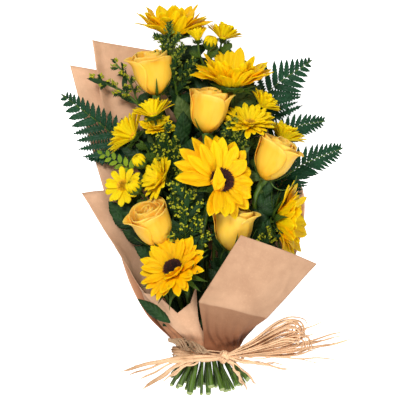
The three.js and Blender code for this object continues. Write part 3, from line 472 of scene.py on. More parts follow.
# ---- geometry node trees
class Graph(NodeMaker):
    """A geometry node tree under construction, with named inputs and the material to set."""

    def __init__(self, name, inputs):
        super().__init__(bpy.data.node_groups.new(name, "GeometryNodeTree"))
        face = self.tree.interface
        face.new_socket("Geometry", in_out="INPUT", socket_type="NodeSocketGeometry")
        for label, kind, default in inputs:
            socket = face.new_socket(label, in_out="INPUT", socket_type="NodeSocket" + kind)
            socket.default_value = default
        face.new_socket("Material", in_out="INPUT", socket_type="NodeSocketMaterial")
        face.new_socket("Geometry", in_out="OUTPUT", socket_type="NodeSocketGeometry")
        self.given = self.tree.nodes.new("NodeGroupInput").outputs

    def random(self, low, high, seed):
        sockets = {2: low, 3: high, "Seed": seed}
        return self.put("FunctionNodeRandomValue", sockets, data_type="FLOAT")[1]

    def keep_place(self, geometry, place):
        """Stores the place that the finishes read: across, along and tone."""
        sockets = {"Geometry": geometry, "Name": "place", "Value": place}
        return self.put("GeometryNodeStoreNamedAttribute", sockets, data_type="FLOAT_VECTOR")[0]

    def end(self, geometry):
        """Realize Instances, then Set Material, then the output."""
        real = self.put("GeometryNodeRealizeInstances", {"Geometry": geometry})[0]
        shaded = self.put("GeometryNodeSetShadeSmooth", {"Geometry": real})[0]
        sockets = {"Geometry": shaded, "Material": self.given["Material"]}
        done = self.put("GeometryNodeSetMaterial", sockets)[0]
        self.put("NodeGroupOutput", {"Geometry": done})
        return self.tree


@functools.cache
def sweep_tree():
    """Round or flat tubes along curves, as thick as the curves' radius."""
    g = Graph("Stem sweep", [("Sides", "Int", 10), ("Flatness", "Float", 1.0)])
    circle = {"Resolution": g.given["Sides"], "Radius": 1.0}
    round_profile = g.put("GeometryNodeCurvePrimitiveCircle", circle)[0]
    flat = g.vector(1.0, g.given["Flatness"], 1.0)
    along = g.put("GeometryNodeSplineParameter", {})[0]
    return g.end(g.put("GeometryNodeCurveToMesh", {
        "Curve": g.keep_place(g.given["Geometry"], g.vector(0.0, along, 0.5)),
        "Profile Curve": g.put("GeometryNodeTransform", {"Geometry": round_profile, "Scale": flat})[0],
        "Scale": g.put("GeometryNodeInputRadius", {})[0],
        "Fill Caps": True,
    })[0])


@functools.cache
def floret_tree():
    """Small buds crowded along curves: a step between them, how far they stray, and their size."""
    g = Graph("Floret crowd", [
        ("Step", "Float", 0.002), ("Stray", "Float", 0.001), ("Size", "Float", 0.001), ("Seed", "Int", 0),
    ])
    stray, seed = g.given["Stray"], g.given["Seed"]
    steps = {"Curve": g.given["Geometry"], "Length": g.given["Step"]}
    beads = g.put("GeometryNodeResampleCurve", steps, mode="LENGTH")[0]
    points = g.put("GeometryNodeCurveToPoints", {"Curve": beads}, mode="EVALUATED")[0]
    back = g.times(stray, -1.0)
    shift = g.vector(*(g.random(back, stray, g.plus(seed, 10.0 + axis)) for axis in range(3)))
    strewn = g.put("GeometryNodeSetPosition", {"Geometry": points, "Offset": shift})[0]
    size = g.random(0.65, 1.25, g.plus(seed, 5.0))
    turns = g.vector(*(g.random(0.0, ANY_TURN, g.plus(seed, 20.0 + axis)) for axis in range(3)))
    return g.end(g.put("GeometryNodeInstanceOnPoints", {
        "Points": g.keep_place(strewn, g.vector(0.0, 0.5, g.random(0.0, 1.0, seed))),
        "Instance": g.put("GeometryNodeMeshIcoSphere", {"Radius": g.given["Size"], "Subdivisions": 1})[0],
        "Scale": g.vector(size, size, g.times(size, 1.25)),
        "Rotation": g.put("FunctionNodeEulerToRotation", {0: turns})[0],
    })[0])


@functools.cache
def disc_tree():
    """Florets in a sunflower's spiral over a low dome with a dip in its middle."""
    g = Graph("Disc florets", [
        ("Florets", "Int", 200), ("Radius", "Float", 0.01), ("Dome", "Float", 0.003),
        ("Hollow", "Float", 0.0), ("Size", "Float", 0.0008), ("Height", "Float", 0.002), ("Seed", "Int", 0),
    ])
    seed, dome, size = g.given["Seed"], g.given["Dome"], g.given["Size"]
    index = g.put("GeometryNodeInputIndex", {})[0]
    share = g.math("SQRT", g.math("DIVIDE", g.plus(index, 0.5), g.given["Florets"]))
    radius = g.times(share, g.given["Radius"])
    turn = g.times(index, GOLDEN_ANGLE)
    x = g.times(radius, g.math("COSINE", turn))
    y = g.times(radius, g.math("SINE", turn))
    fall = g.times(g.math("POWER", share, 3.0), dome)
    dip = g.times(g.math("POWER", g.minus(1.0, share), 2.0), g.given["Hollow"])
    spot = g.vector(x, y, g.minus(g.minus(dome, fall), dip))
    spots = g.put("GeometryNodePoints", {"Count": g.given["Florets"], "Position": spot})[0]
    cone = {"Vertices": 5, "Radius Bottom": size, "Radius Top": g.times(size, 0.45),
            "Depth": g.given["Height"]}
    outwards = g.vector(x, y, g.times(g.given["Radius"], 1.1))
    scale = g.random(0.75, 1.2, g.plus(seed, 4.0))
    return g.end(g.put("GeometryNodeInstanceOnPoints", {
        "Points": g.keep_place(spots, g.vector(0.0, share, g.random(0.0, 1.0, seed))),
        "Instance": g.put("GeometryNodeMeshCone", cone)[0],
        "Rotation": g.put("FunctionNodeAlignRotationToVector", {"Vector": outwards}, axis="Z")[0],
        "Scale": g.vector(scale, scale, scale),
    })[0])


def grown(name, source, graph, values, record_slot, nodes=(), matrix=None):
    """Grows a node tree on a source object and keeps the result as a plain mesh."""
    modifier = source.modifiers.new("grow", "NODES")
    modifier.node_group = graph
    for item in graph.interface.items_tree:
        if item.in_out == "INPUT" and item.name in values:
            modifier[item.identifier] = values[item.name]
    evaluated = source.evaluated_get(bpy.context.evaluated_depsgraph_get())
    mesh = bpy.data.meshes.new_from_object(evaluated)
    mesh.name = name
    source.modifiers.remove(modifier)
    bpy.data.objects.remove(source)
    if matrix is not None:
        mesh.transform(matrix)
    settle(mesh, record_slot, *nodes)


def disc_florets(name, place, record_slot, finish, seed, florets, **sizes):
    """The florets of a flower's middle. The sizes are in millimetres."""
    values = {label.capitalize(): size * MM for label, size in sizes.items()}
    values.update({"Florets": florets, "Seed": seed, "Material": FINISH[finish]})
    source = new_object(name + "_source", bpy.data.meshes.new(name + "_source"))
    matrix = Matrix.Translation(SHIFT) @ Matrix.Scale(MM, 4) @ place @ Matrix.Scale(1 / MM, 4)
    grown(name, source, disc_tree(), values, record_slot, matrix=matrix)


def curve_source(name, lines, radii, tilts=None):
    """A curve object in the frame: one poly spline for each line, with a radius at each point."""
    data = bpy.data.curves.new(name, "CURVE")
    data.dimensions = "3D"
    for k, (line, radius) in enumerate(zip(lines, radii)):
        spline = data.splines.new("POLY")
        spline.points.add(len(line) - 1)
        spline.points.foreach_set("co", np.hstack([frame_points(line), np.ones((len(line), 1))]).ravel())
        radius = np.broadcast_to(np.asarray(radius, float) * MM, (len(line),))
        spline.points.foreach_set("radius", np.ascontiguousarray(radius))
        if tilts is not None:
            spline.points.foreach_set("tilt", np.ascontiguousarray(tilts[k], dtype=float))
    return new_object(name + "_source", data)


def stems(name, lines, radii, finish="stem", slot="stem"):
    """Stems, stalks or ribs: a round tube along each line."""
    values = {"Sides": 12, "Flatness": 1.0, "Material": FINISH[finish]}
    grown(name, curve_source(name, lines, radii), sweep_tree(), values, slot)


# ---- finishes
class Finish(NodeMaker):
    """A material under construction on its shader."""

    def __init__(self, name, roughness, **sockets):
        self.material = bpy.data.materials.new(name)
        self.material.use_nodes = True
        super().__init__(self.material.node_tree)
        self.shader = self.tree.nodes["Principled BSDF"]
        self.shader.inputs["Roughness"].default_value = roughness
        for label, value in sockets.items():
            self.shader.inputs[label.replace("_", " ")].default_value = value

    def place(self):
        """Across, along and tone of a petal or leaf."""
        vector = self.put("ShaderNodeAttribute", {}, attribute_name="place")["Vector"]
        return self.put("ShaderNodeSeparateXYZ", {0: vector})

    def noise(self, vector, scale, detail=2.0, roughness=0.5):
        sockets = {"Vector": vector, "Scale": scale, "Detail": detail, "Roughness": roughness}
        return self.put("ShaderNodeTexNoise", sockets)[0]

    def object_space(self, stretch=(1, 1, 1)):
        spot = self.put("ShaderNodeTexCoord", {})["Object"]
        return self.put("ShaderNodeMapping", {"Vector": spot, "Scale": stretch})[0]

    def ramp(self, factor, stops):
        """Colours along a factor, from (position, colour) stops."""
        node = self.tree.nodes.new("ShaderNodeValToRGB")
        self.tree.links.new(factor, node.inputs[0])
        elements = node.color_ramp.elements
        while len(elements) < len(stops):
            elements.new(0.5)
        for element, (position, colour) in zip(elements, stops):
            element.position = position
            element.color = (*colour[:3], 1.0)
        return node.outputs[0]

    def span(self, factor, low, high):
        """0 at low and 1 at high, with a soft step between them."""
        sockets = {"Value": factor, "From Min": low, "From Max": high}
        return self.put("ShaderNodeMapRange", sockets, interpolation_type="SMOOTHSTEP")[0]

    def mix(self, factor, a, b, blend="MIX"):
        colours = {0: factor, 6: a if isinstance(a, NodeSocket) else (*a[:3], 1.0)}
        colours[7] = b if isinstance(b, NodeSocket) else (*b[:3], 1.0)
        return self.put("ShaderNodeMix", colours, data_type="RGBA", blend_type=blend)[2]

    def darken(self, factor, colour, by):
        return self.mix(factor, colour, by, "MULTIPLY")

    def done(self, colour, height=None, strength=0.0, distance=0.0):
        """The material, with its colour and, where a height is given, its bump."""
        self.tree.links.new(colour, self.shader.inputs["Base Color"])
        if height is not None:
            sockets = {"Height": height, "Strength": strength, "Distance": distance}
            bump = self.put("ShaderNodeBump", sockets)[0]
            self.tree.links.new(bump, self.shader.inputs["Normal"])
        return self.material


def shade(colour, factor):
    """A colour made darker or lighter."""
    return tuple(min(c * factor, 1.0) for c in colour[:3])


def petal_finish(name, root, body, tip, streaks=9.0, roughness=0.6, root_reach=0.25, vein=0.6):
    """A petal: warm at its root, paler at its tip, with fine streaks along it, and lit through."""
    f = Finish(name, roughness, Subsurface_Weight=0.35, Subsurface_Scale=0.004, Specular_IOR_Level=0.16)
    f.shader.inputs["Subsurface Radius"].default_value = (1.0, 0.7, 0.1)
    across, along, tone = f.place()
    base = f.ramp(along, [(0.0, root), (root_reach, body), (0.82, body), (1.0, tip)])
    streak = f.noise(f.vector(f.times(across, streaks), f.times(along, 1.3), f.times(tone, 40.0)), 1.0)
    veined = f.mix(f.times(f.span(streak, 0.42, 0.7), vein), base, root)
    toned = f.mix(f.times(f.span(tone, 0.35, 1.0), 0.6), veined, tip)
    return f.done(toned, streak, 0.8, 0.0009)


def leaf_finish(name, dark, light, vein, veins=7.0):
    """A leaf: side veins run from the midrib towards the tip."""
    f = Finish(name, 0.5, Specular_IOR_Level=0.2)
    across, along, tone = f.place()
    wide = f.math("ABSOLUTE", across)
    phase = f.times(f.minus(along, f.times(wide, 0.18)), veins * 2 * pi)
    ridge = f.math("POWER", f.math("ABSOLUTE", f.math("SINE", f.times(phase, 0.5))), 0.4)
    height = f.times(ridge, f.span(wide, 0.0, 0.12))
    green = f.mix(f.span(f.noise(f.object_space(), 60.0, 3.0), 0.3, 0.7), dark, light)
    toned = f.mix(f.times(tone, 0.5), green, light)
    return f.done(f.mix(f.times(f.minus(1.0, height), 0.3), toned, vein), height, 0.6, 0.0008)


def stem_finish(name, green, side, cut):
    """A stem: streaked along its length, pale at its cut end."""
    f = Finish(name, 0.45, Specular_IOR_Level=0.4)
    along = f.place()[1]
    streak = f.noise(f.object_space((1.0, 0.12, 1.0)), 260.0)
    body = f.mix(f.span(streak, 0.35, 0.7), green, side)
    return f.done(f.mix(f.span(along, 0.004, 0.0), body, cut), streak, 0.3, 0.0004)


def floret_finish(name, dark, light):
    """Small florets: darker and lighter ones mixed."""
    f = Finish(name, 0.6)
    _, along, tone = f.place()
    return f.done(f.ramp(f.times(f.plus(along, tone), 0.5), [(0.2, dark), (0.75, light)]))


def disc_finish(name, middle, rim, pollen):
    """A sunflower's middle: dark, and lighter towards its rim, with pollen on some florets."""
    f = Finish(name, 0.85)
    _, along, tone = f.place()
    base = f.ramp(along, [(0.0, middle), (0.45, shade(middle, 0.7)), (0.8, rim), (1.0, shade(rim, 0.8))])
    return f.done(f.mix(f.times(f.span(tone, 0.7, 1.0), 0.5), base, pollen))


def paper_finish(name, light, dark, fibre):
    """Kraft paper: faint ribs along the roll, mottled pulp and fine fibres, with painted shade that deepens
    towards the tie. A tone of 1 marks the front flap, painted darker as if in softer light, with more painted
    shade below its crease."""
    f = Finish(name, 0.82, Specular_IOR_Level=0.25)
    across, along, tone = f.place()
    ribs = f.math("SINE", f.times(across, 260.0))
    cloud = f.noise(f.object_space(), 26.0, 4.0, 0.6)
    pulp = f.noise(f.object_space(), 420.0, 3.0, 0.7)
    body = f.mix(f.span(cloud, 0.3, 0.75), dark, light)
    mottled = f.mix(f.times(f.span(pulp, 0.5, 0.8), 0.4), body, fibre)
    ribbed = f.mix(f.times(f.span(ribs, -0.2, 1.0), 0.10), mottled, dark)
    # Painted shade: the front flap darker all over, darker still below its crease, and every sheet darker
    # near the tie.
    below = f.times(f.span(along, CREASE_ALONG, CREASE_ALONG - 0.012), tone)
    front = f.darken(tone, ribbed, (0.73, 0.712, 0.703))
    creased = f.darken(below, front, (0.72, 0.62, 0.55))
    shaded_near_tie = f.darken(f.span(along, 0.62, 0.30), creased, (0.70, 0.52, 0.42))
    return f.done(shaded_near_tie, f.plus(f.times(pulp, 0.6), f.times(ribs, 0.08)), 0.35, 0.0006)


def raffia_finish(name, light, dark):
    """Palm fibre: finely streaked, with brown patches."""
    f = Finish(name, 0.7, Specular_IOR_Level=0.3)
    streak = f.noise(f.object_space(), 700.0)
    patch = f.noise(f.object_space(), 45.0)
    body = f.mix(f.span(streak, 0.35, 0.7), light, shade(light, 0.8))
    return f.done(f.mix(f.times(f.span(patch, 0.45, 0.75), 0.75), body, dark), streak, 0.5, 0.0005)


# ---- what a user may change
def colour_prop(name, text, default):
    return bpy.props.FloatVectorProperty(
        name=name, description=text, default=default, size=3, min=0.0, max=1.0, subtype="COLOR"
    )


def length_prop(name, text, default):
    return bpy.props.FloatProperty(
        name=name, description=text, default=default, min=0.0, subtype="DISTANCE", unit="LENGTH"
    )


class BouquetBlooms(PropertyGroup):
    petal: length_prop("Petal thickness", "Thickness of a petal in its middle", 0.0007)
    sunflower: colour_prop("Sunflower", "Body of a sunflower's petals", (1.0, 0.51, 0.0))
    sunflower_root: colour_prop("Sunflower root", "Root of a sunflower's petals", (1.0, 0.38, 0.0))
    disc: colour_prop("Disc", "Florets in the middle of a sunflower", (0.045, 0.006, 0.003))
    rose: colour_prop("Rose", "Body of a rose's petals", (0.98, 0.52, 0.045))
    rose_lip: colour_prop("Rose lip", "Rolled lips of a rose's petals", (1.0, 0.62, 0.11))
    daisy: colour_prop("Daisy", "Body of a daisy's petals", (1.0, 0.70, 0.0))
    daisy_root: colour_prop("Daisy root", "Root of a daisy's petals", (0.98, 0.44, 0.0))


class BouquetFoliage(PropertyGroup):
    stem: colour_prop("Stem", "Green of the stems", (0.10, 0.20, 0.010))
    fern: colour_prop("Fern", "Green of the fern fronds", (0.005, 0.050, 0.017))
    leaf: colour_prop("Leaf", "Green of the broad leaves", (0.010, 0.040, 0.007))
    goldenrod: colour_prop("Goldenrod", "Yellow of the goldenrod's florets", (0.56, 0.54, 0.004))
    floret: length_prop("Floret", "Radius of a goldenrod floret", 0.00105)


class BouquetWrap(PropertyGroup):
    thickness: length_prop("Paper", "Thickness of the paper", 0.0004)
    light: colour_prop("Paper light", "Light patches of the paper", (0.81, 0.50, 0.312))
    dark: colour_prop("Paper dark", "Dark patches of the paper", (0.64, 0.372, 0.224))
    raffia: colour_prop("Raffia", "Straw colour of the raffia", (0.90, 0.58, 0.34))
    strand: length_prop("Strand", "Half width of a raffia strand", 0.0011)


class BouquetStage(PropertyGroup):
    floor: colour_prop("Floor", "Colour of the floor", (0.93, 0.93, 0.93))
    distance: length_prop("Camera height", "Height of the camera over the blooms", 2.2)
    field: length_prop("Field", "Width of the view at the blooms", 0.520)


# ---- sunflowers
RAY_OUTLINE = [(0, 0.5), (0.2, 0.80), (0.46, 1.0), (0.7, 0.92), (0.86, 0.64), (0.95, 0.32), (1, 0.05)]
FOLDED_OUTLINE = [(0, 0.75), (0.25, 1.0), (0.5, 0.9), (0.75, 0.55), (0.9, 0.26), (1, 0.03)]
BRACT_OUTLINE = [(0, 0.9), (0.3, 1.0), (0.6, 0.6), (0.85, 0.2), (1, 0.02)]
DISC_FLORETS = 260


def ring(skin, place, count, phase, hub, height, petal, seed, thickness,
         spread=0.18, bare=(0, 0), tone=0.5):
    """A ring of petals round +Z. petal(i, turn) gives each one's grid. None stands between bare turns."""
    for i in range(count):
        turn = 360.0 * (i + phase + spread * vary(i, seed)) / count
        if bare[0] < turn % 360 < bare[1]:
            continue
        out = Matrix.Translation((hub, 0, height + 0.25 * vary(i, seed + 4)))
        own = min(max(tone + 0.4 * vary(i, seed + 9), 0.0), 1.0)
        skin.sheet(moved(petal(i, turn), place @ spun(turn) @ out), thickness, own)


def ray_petals(k, bloom, blooms):
    """A sunflower's petals: two outer rings, a short inner one, and petals that fold over the middle."""
    radius, cup, near = bloom["radius"], bloom["cup"], bloom["near"]
    eye = EYE_SHARE * radius
    place = pose(bloom["at"], bloom["faces"])
    front = toward_viewer(bloom["faces"])
    extra, line = bloom["longest"]
    unruly = 0.5 if near else 1.0
    thickness = blooms.petal / MM
    outer, second = bloom["rays"]
    # Each ring's petals, their lift and share of the full length, and the ring's height and radius.
    rings = [
        (outer, cup - 6, 1.0, -3.0, eye - 1),
        (second, cup + 5, 0.94, -1.8, eye - 1.2),
        (bloom["inner"], 62, 0.84, -0.4, eye + 0.4),
    ]
    skin = Skin()
    for layer, (count, lift, share, height, hub) in enumerate(rings):
        seed = 17 * k + 5 * layer

        def petal(i, turn):
            v = [vary(i, seed + n) for n in range(6)]
            stand = near * max(0.0, cos(radians(turn - front))) * (layer < 2)
            long = 1 + extra * cos(radians(turn - line))
            length = (radius - eye + 1) * share * long * (1 + 0.11 * v[0]) / cos(radians(cup * 0.6))
            return blade(length, bloom["wide"] * radius * (1 + 0.14 * v[1]), RAY_OUTLINE,
                         lift=lift + stand + 9 * unruly * v[2], droop=-14 + 24 * v[3], cup=0.26 * unruly,
                         furrow=-0.07, twist=18 * unruly * v[4], wave=0.12, waves=1.6, phase=3 * v[5],
                         rows=13, cols=13)

        # Blooms seen from the side get a higher tone, which mixes their petals towards the paler tip colour:
        # painted light on petals that face away from the lamps.
        ring(skin, place, count, 0.4 + 0.37 * layer, hub, height, petal, seed, thickness, spread=0.3,
             bare=bloom["bare"], tone=0.85 if near else 0.4)
    for n, (turn, heading, share, lift, droop) in enumerate(bloom["folded"]):
        grid = blade(radius * share, 0.14 * radius, FOLDED_OUTLINE, lift=lift, droop=droop, cup=0.3,
                     furrow=-0.10, twist=14 * vary(n, k), wave=0.08, waves=1.2, rows=15, cols=13)
        root = place @ spun(turn) @ Matrix.Translation((eye + 1, 0, 1.0))
        skin.sheet(moved(grid, root @ spun(heading - turn)), thickness, 0.2 + 0.2 * n)
    name = f"sunflower_{k + 1}"
    skin.piece(f"{name}_rays", [FINISH["ray"]], "sunflower_petal", f"{name}_petals")


def sunflower_disc(k, bloom):
    """A sunflower's dark middle: a low dome, and the florets that crowd it."""
    eye = EYE_SHARE * bloom["radius"]
    name = f"sunflower_{k + 1}"
    place = pose(bloom["at"], bloom["faces"])
    skin = Skin()
    dome = [(0.05, -3.0), (eye - 0.5, -3.0), (eye - 0.4, 0.4), (0.8 * eye, 1.8), (0.4 * eye, 2.0),
            (0.05, 1.6)]
    skin.turned(dome, 24, place, 0.3)
    skin.piece(f"{name}_receptacle", [FINISH["disc"]], "sunflower_disc", f"{name}_disc")
    disc_florets(f"{name}_florets", place, "sunflower_disc", "disc", k, DISC_FLORETS,
                 radius=eye - 0.4, dome=2.6, hollow=1.8, size=0.075 * eye, height=3.2)


def bracts(skin, place, radius, seed, lift, count=13, reach=0.5, width=0.1, foot=-12.0, top=-4.6):
    """Green pointed bracts in two rings under a head, on their cup."""
    hub = 0.27 * radius
    cup = [(0.05, foot - 3), (0.1 * radius, foot - 2), (0.75 * hub, foot + 3), (hub, top), (0.05, top + 0.3)]
    skin.turned(cup, 18, place, 0.4)
    for layer in range(2):
        def bract(i, turn):
            v = [vary(i, seed + 6 * layer + n) for n in range(4)]
            return blade(radius * reach * (1 + 0.2 * v[0]), width * radius, BRACT_OUTLINE,
                         lift=lift + 10 * v[1] - 8 * layer, droop=30 + 45 * v[2], cup=0.3,
                         twist=25 * v[3], rows=9, cols=5)

        height = top - 1.4 - 2 * layer
        ring(skin, place, count, 0.5 * layer, 0.8 * hub, height, bract, seed + layer, 0.7)


def sunflower_green(k, bloom):
    """A sunflower's bracts and stalk."""
    name = f"sunflower_{k + 1}"
    place = pose(bloom["at"], bloom["faces"])
    skin = Skin()
    bracts(skin, place, bloom["radius"], 31 * k + 3, bloom["bract_lift"], reach=bloom["bract"])
    skin.piece(f"{name}_bracts", [FINISH["sepal"]], "stem", f"{name}_stem")
    line = stem_line(bloom["slot"], head_stops(bloom, SUNFLOWER_SETBACK))
    stems(f"{name}_stalk", [line], [stalk_radii(STEM_RADIUS["sunflower"], line)])


def stalk_radii(radius, line):
    """A stem's radius along its line: it is thickest at its cut end."""
    return radius * (1 + 0.18 * np.clip(1 - np.arange(len(line)) / STEM_STEPS, 0, 1))


def cut_ends():
    """The pale slanting faces where the stems were cut."""
    skin = Skin()
    kinds = {"sunflower": SUNFLOWERS, "rose": ROSES, "daisy": DAISY_SPRAYS, "goldenrod": GOLDENRODS,
             "fern": FERNS, "leafy": TWIGS}
    for slot, kind in [(plant["slot"], kind) for kind, plants in kinds.items() for plant in plants]:
        line = stem_line(slot, [slot_point(slot) + (0, 40, 0)])
        radius = stalk_radii(STEM_RADIUS[kind], line)[0]
        way = unit(line[0] - line[1])
        place = pose(line[0] + 0.25 * radius * way, way + np.array([0, 0, 0.85]))
        face = [(0.05, -1.4), (0.8 * radius, -1.4), (radius, -0.3), (0.9 * radius, 0.4), (0.05, 0.5)]
        skin.turned(face, 12, place, 0.5)
    skin.piece("stem_cuts", [FINISH["cut"]], "stem")


# ---- roses
# Outlines: the radius up a rose, how wide its petals are, and the half widths of its sepals and leaves.
ROSE_BELLY = [(0, 0.22), (0.1, 0.50), (0.28, 0.79), (0.5, 0.94), (0.78, 1.0), (1, 1.02)]
ROSE_CLAW = [(0, 0.5), (0.2, 0.74), (0.5, 0.97), (0.8, 1.0), (1, 0.82)]
SEPAL_OUTLINE = [(0, 0.9), (0.25, 1.0), (0.6, 0.55), (0.9, 0.2), (1, 0.02)]
LEAF_OUTLINE = [(0, 0.1), (0.15, 0.62), (0.4, 1.0), (0.7, 0.78), (0.9, 0.3), (1, 0.02)]
# A thin tendril that curls away from under rose 3.
TENDRIL = [(74, 38, 84), (82, 26, 86), (94, 22, 87), (106, 30, 88), (110, 40, 86)]
# Layers of petals from the outside in: share of the belly's radius, petals, half angle, height share,
# how far the lip rolls out in millimetres, how far the mouth closes, the layer's first turn, how far a
# petal's edge drops to its sides, and how far off the middle the layer stands.
ROSE_LAYERS = [
    (1.00, 3, 74, 0.97, 7.0, 1.00, 0, 0.12, 0.0),
    (0.93, 3, 80, 1.00, 1.8, 0.90, 62, 0.08, 0.0),
    (0.78, 2, 112, 1.02, 0.9, 0.74, 15, 0.09, 2.4),
    (0.56, 2, 120, 1.02, 0.6, 0.60, 85, 0.10, 3.4),
    (0.34, 1, 165, 1.00, 0.4, 0.55, 20, 0.12, 4.0),
    (0.16, 1, 170, 0.97, 0.2, 0.50, 130, 0.12, 4.0),
]


def rose_petal(share, half_angle, height, lip, mouth, fall, seed, rows=22, cols=19):
    """A petal as a grid wrapped round +Z, its middle on +X, with its lip rolled out and down."""
    s = np.linspace(0, 1, rows)[:, None]
    t = np.linspace(-1, 1, cols)[None, :]
    belly = smooth(ROSE_BELLY, s)
    closing = 1 - (1 - mouth) * np.clip((s - 0.55) / 0.45, 0, 1) ** 1.7
    radius = ROSE_RADIUS * share * belly * closing * (1 + 0.05 * t)
    angle = radians(half_angle) * t * smooth(ROSE_CLAW, s)
    middle = 0.25 * vary(seed, 2)
    tip = np.exp(-(((t - middle) / 0.34) ** 2))
    peak = 1 - fall * np.abs(t - 0.5 * middle) ** 2.0 + 0.02 * tip
    z = ROSE_HEIGHT * (height * s * peak - 0.5)
    roll = np.clip((s - 0.70) / 0.30, 0, 1)
    pinch = 0.25 + 0.75 * tip
    out = lip * roll**1.7 * pinch
    drop = 0.45 * lip * roll**3 * pinch
    fold = (0.7 * np.sin(3.2 * t + seed) + 0.25 * np.sin(7 * t + 2 * seed)) * s**2
    radius = radius + out + fold
    return np.stack([radius * np.cos(angle), radius * np.sin(angle), z - drop], -1)


def rose_pose(bloom):
    """A rose's place, with one of its petals turned towards the viewer."""
    place = pose(bloom["at"], bloom["faces"])
    return place @ spun(toward_viewer(bloom["faces"]) + bloom["roll"])


def rose(k, bloom, blooms):
    """A rose's petals, layer by layer, and the hip that they stand on."""
    name = f"rose_{k + 1}"
    place = rose_pose(bloom)
    skin = Skin()
    thickness = 1.3 * blooms.petal / MM
    for layer, (share, count, half_angle, height, lip, mouth, turn, fall, off) in enumerate(ROSE_LAYERS):
        lip = lip * bloom["open"] ** (1 if layer == 0 else 3)
        aside = 140 * layer + 60 * k
        slip = spun(aside) @ Matrix.Translation((off, 0, 0)) @ spun(-aside)
        for i in range(count):
            seed = 7 * k + 3 * layer + i
            in_front = layer == 0 and i == 0
            curl = lip * (bloom["flap"] if in_front else 1.0) * (1 + 0.3 * vary(seed, 6))
            tall = height * (1 + 0.012 * vary(seed, 5))
            grid = rose_petal(share, half_angle, tall, curl, mouth, fall, seed)
            turned = moved(grid[:, ::-1], place @ slip @ spun(turn + 360 * i / count + 8 * vary(seed, 7)))
            skin.sheet(turned, thickness, 0.5 + 0.5 * vary(seed, 8), thin_edge=0.6)
    base = -ROSE_HEIGHT / 2
    hip = [(0.1, base - 1), (3.5, base - 0.5), (7, base + 3), (8, base + 9), (4, base + 30), (0.1, base + 34)]
    skin.turned(hip, 16, place, 0.5)
    skin.piece(f"{name}_flower", [FINISH["rose"]], "rose_petal", f"{name}_petals")


def rose_sepal(skin, place, turn, length, width, hugging, seed):
    """A narrow sepal that lies up along the flower, or curls away from it."""
    base = -ROSE_HEIGHT / 2
    rows, cols = 15, 5
    if hugging:
        s = np.linspace(0, 1, rows)[:, None]
        t = np.linspace(-1, 1, cols)[None, :]
        radius = ROSE_RADIUS * smooth(ROSE_BELLY, s * length / ROSE_HEIGHT) * 1.06 + 1.0 + 3.0 * s**3 + 0 * t
        half = width * smooth(SEPAL_OUTLINE, s) * t
        angle = half / radius + 0.12 * s * vary(seed, 1)
        grid = np.stack([radius * np.cos(angle), radius * np.sin(angle), base + s * length - 1.5 + 0 * t], -1)
        skin.sheet(moved(grid[:, ::-1], place @ spun(turn)), 0.7, 0.6)
    else:
        grid = blade(length, width, SEPAL_OUTLINE, lift=10, droop=-110, cup=0.35, twist=60,
                     rows=rows, cols=cols)
        skin.sheet(moved(grid, place @ spun(turn) @ Matrix.Translation((4.4, 0, base - 2.4))), 0.7, 0.4)


def rose_green(k, bloom):
    """A rose's hip, sepals and stalk, and the leaves on it."""
    name = f"rose_{k + 1}"
    place = rose_pose(bloom)
    base = -ROSE_HEIGHT / 2
    skin = Skin()
    hip = [(0.1, base - 11), (3.2, base - 10), (4.6, base - 6), (5.6, base - 2.5), (5.4, base - 0.6),
           (0.1, base - 0.4)]
    skin.turned(hip, 14, place, 0.4)
    for i in range(5):
        hugging = vary(i, 3 * k + 1) > -0.45
        turn, length = 72 * i + 40 + 14 * vary(i, k), 26 + 7 * vary(i, k + 2)
        rose_sepal(skin, place, turn, length, 1.9, hugging, i + k)
    skin.piece(f"{name}_sepals", [FINISH["sepal"]], "stem", f"{name}_stem")
    stops = head_stops(bloom, ROSE_SETBACK)
    line = stem_line(bloom["slot"], stops)
    stems(f"{name}_stalk", [line], [stalk_radii(STEM_RADIUS["rose"], line)])
    if name == "rose_3":
        curl = smooth_line([stops[-1], *TENDRIL], 8)
        stems("rose_3_tendril", [curl], [np.linspace(0.9, 0.35, len(curl))], "sepal")
    leaves = Skin()
    for i, share in enumerate((0.46, 0.6, 0.74, 0.84)):
        root, way = on_line(line, share)
        hand = 1 if i % 2 else -1
        leaflets(leaves, root, way, hand, 27 + 4 * vary(k, i), k + i)
    leaves.piece(f"{name}_leaves", [FINISH["leaf"]], "leaf")


def toothed(outline, teeth, depth, rows):
    """An outline with a saw edge, sampled for a blade of some rows."""
    s = np.linspace(0, 1, rows)
    saw = (s * teeth) % 1.0
    return [(a, max(b, 0.01)) for a, b in zip(s, smooth(outline, s) * (1 - depth * (1 - saw)))]


def leaflets(skin, root, way, hand, length, seed):
    """A leaf of three leaflets on a short stalk that leaves a stem to one side."""
    side = unit(np.cross(UP, way)) * -hand
    reach = unit(0.55 * way + 0.75 * side + (0, 0, 0.35 + 0.15 * vary(seed, 1)))
    tip = root + reach * 12
    stalk = blade(14, 0.8, [(0, 1), (1, 0.8)], rows=3, cols=3)
    skin.sheet(along_way(stalk, root, reach), 1.2, 0.3)
    outline = toothed(LEAF_OUTLINE, 9, 0.16, 29)
    for n, (turn, share) in enumerate(((0, 1.0), (55, 0.78), (-55, 0.78))):
        out = np.array(Matrix.Rotation(radians(turn), 3, "Z")) @ reach
        out[2] = 0.12 + 0.12 * vary(seed, 3 + n)
        skin.leaf(tip, out, length * share, 0.31 * length * share, outline, 0.5 + 0.5 * vary(seed, n),
                  lift=8, droop=-34, cup=-0.22, wave=0.05, twist=18 * vary(seed, 6 + n), cols=7)


# ---- daisies
LOBED_OUTLINE = [(0, 0.12), (0.3, 0.7), (0.6, 1.0), (0.85, 0.7), (1, 0.05)]
STRAP_OUTLINE = [(0, 0.45), (0.3, 0.85), (0.65, 1.0), (0.87, 0.88), (0.96, 0.58), (1, 0.2)]
EYE_FLORETS = 90


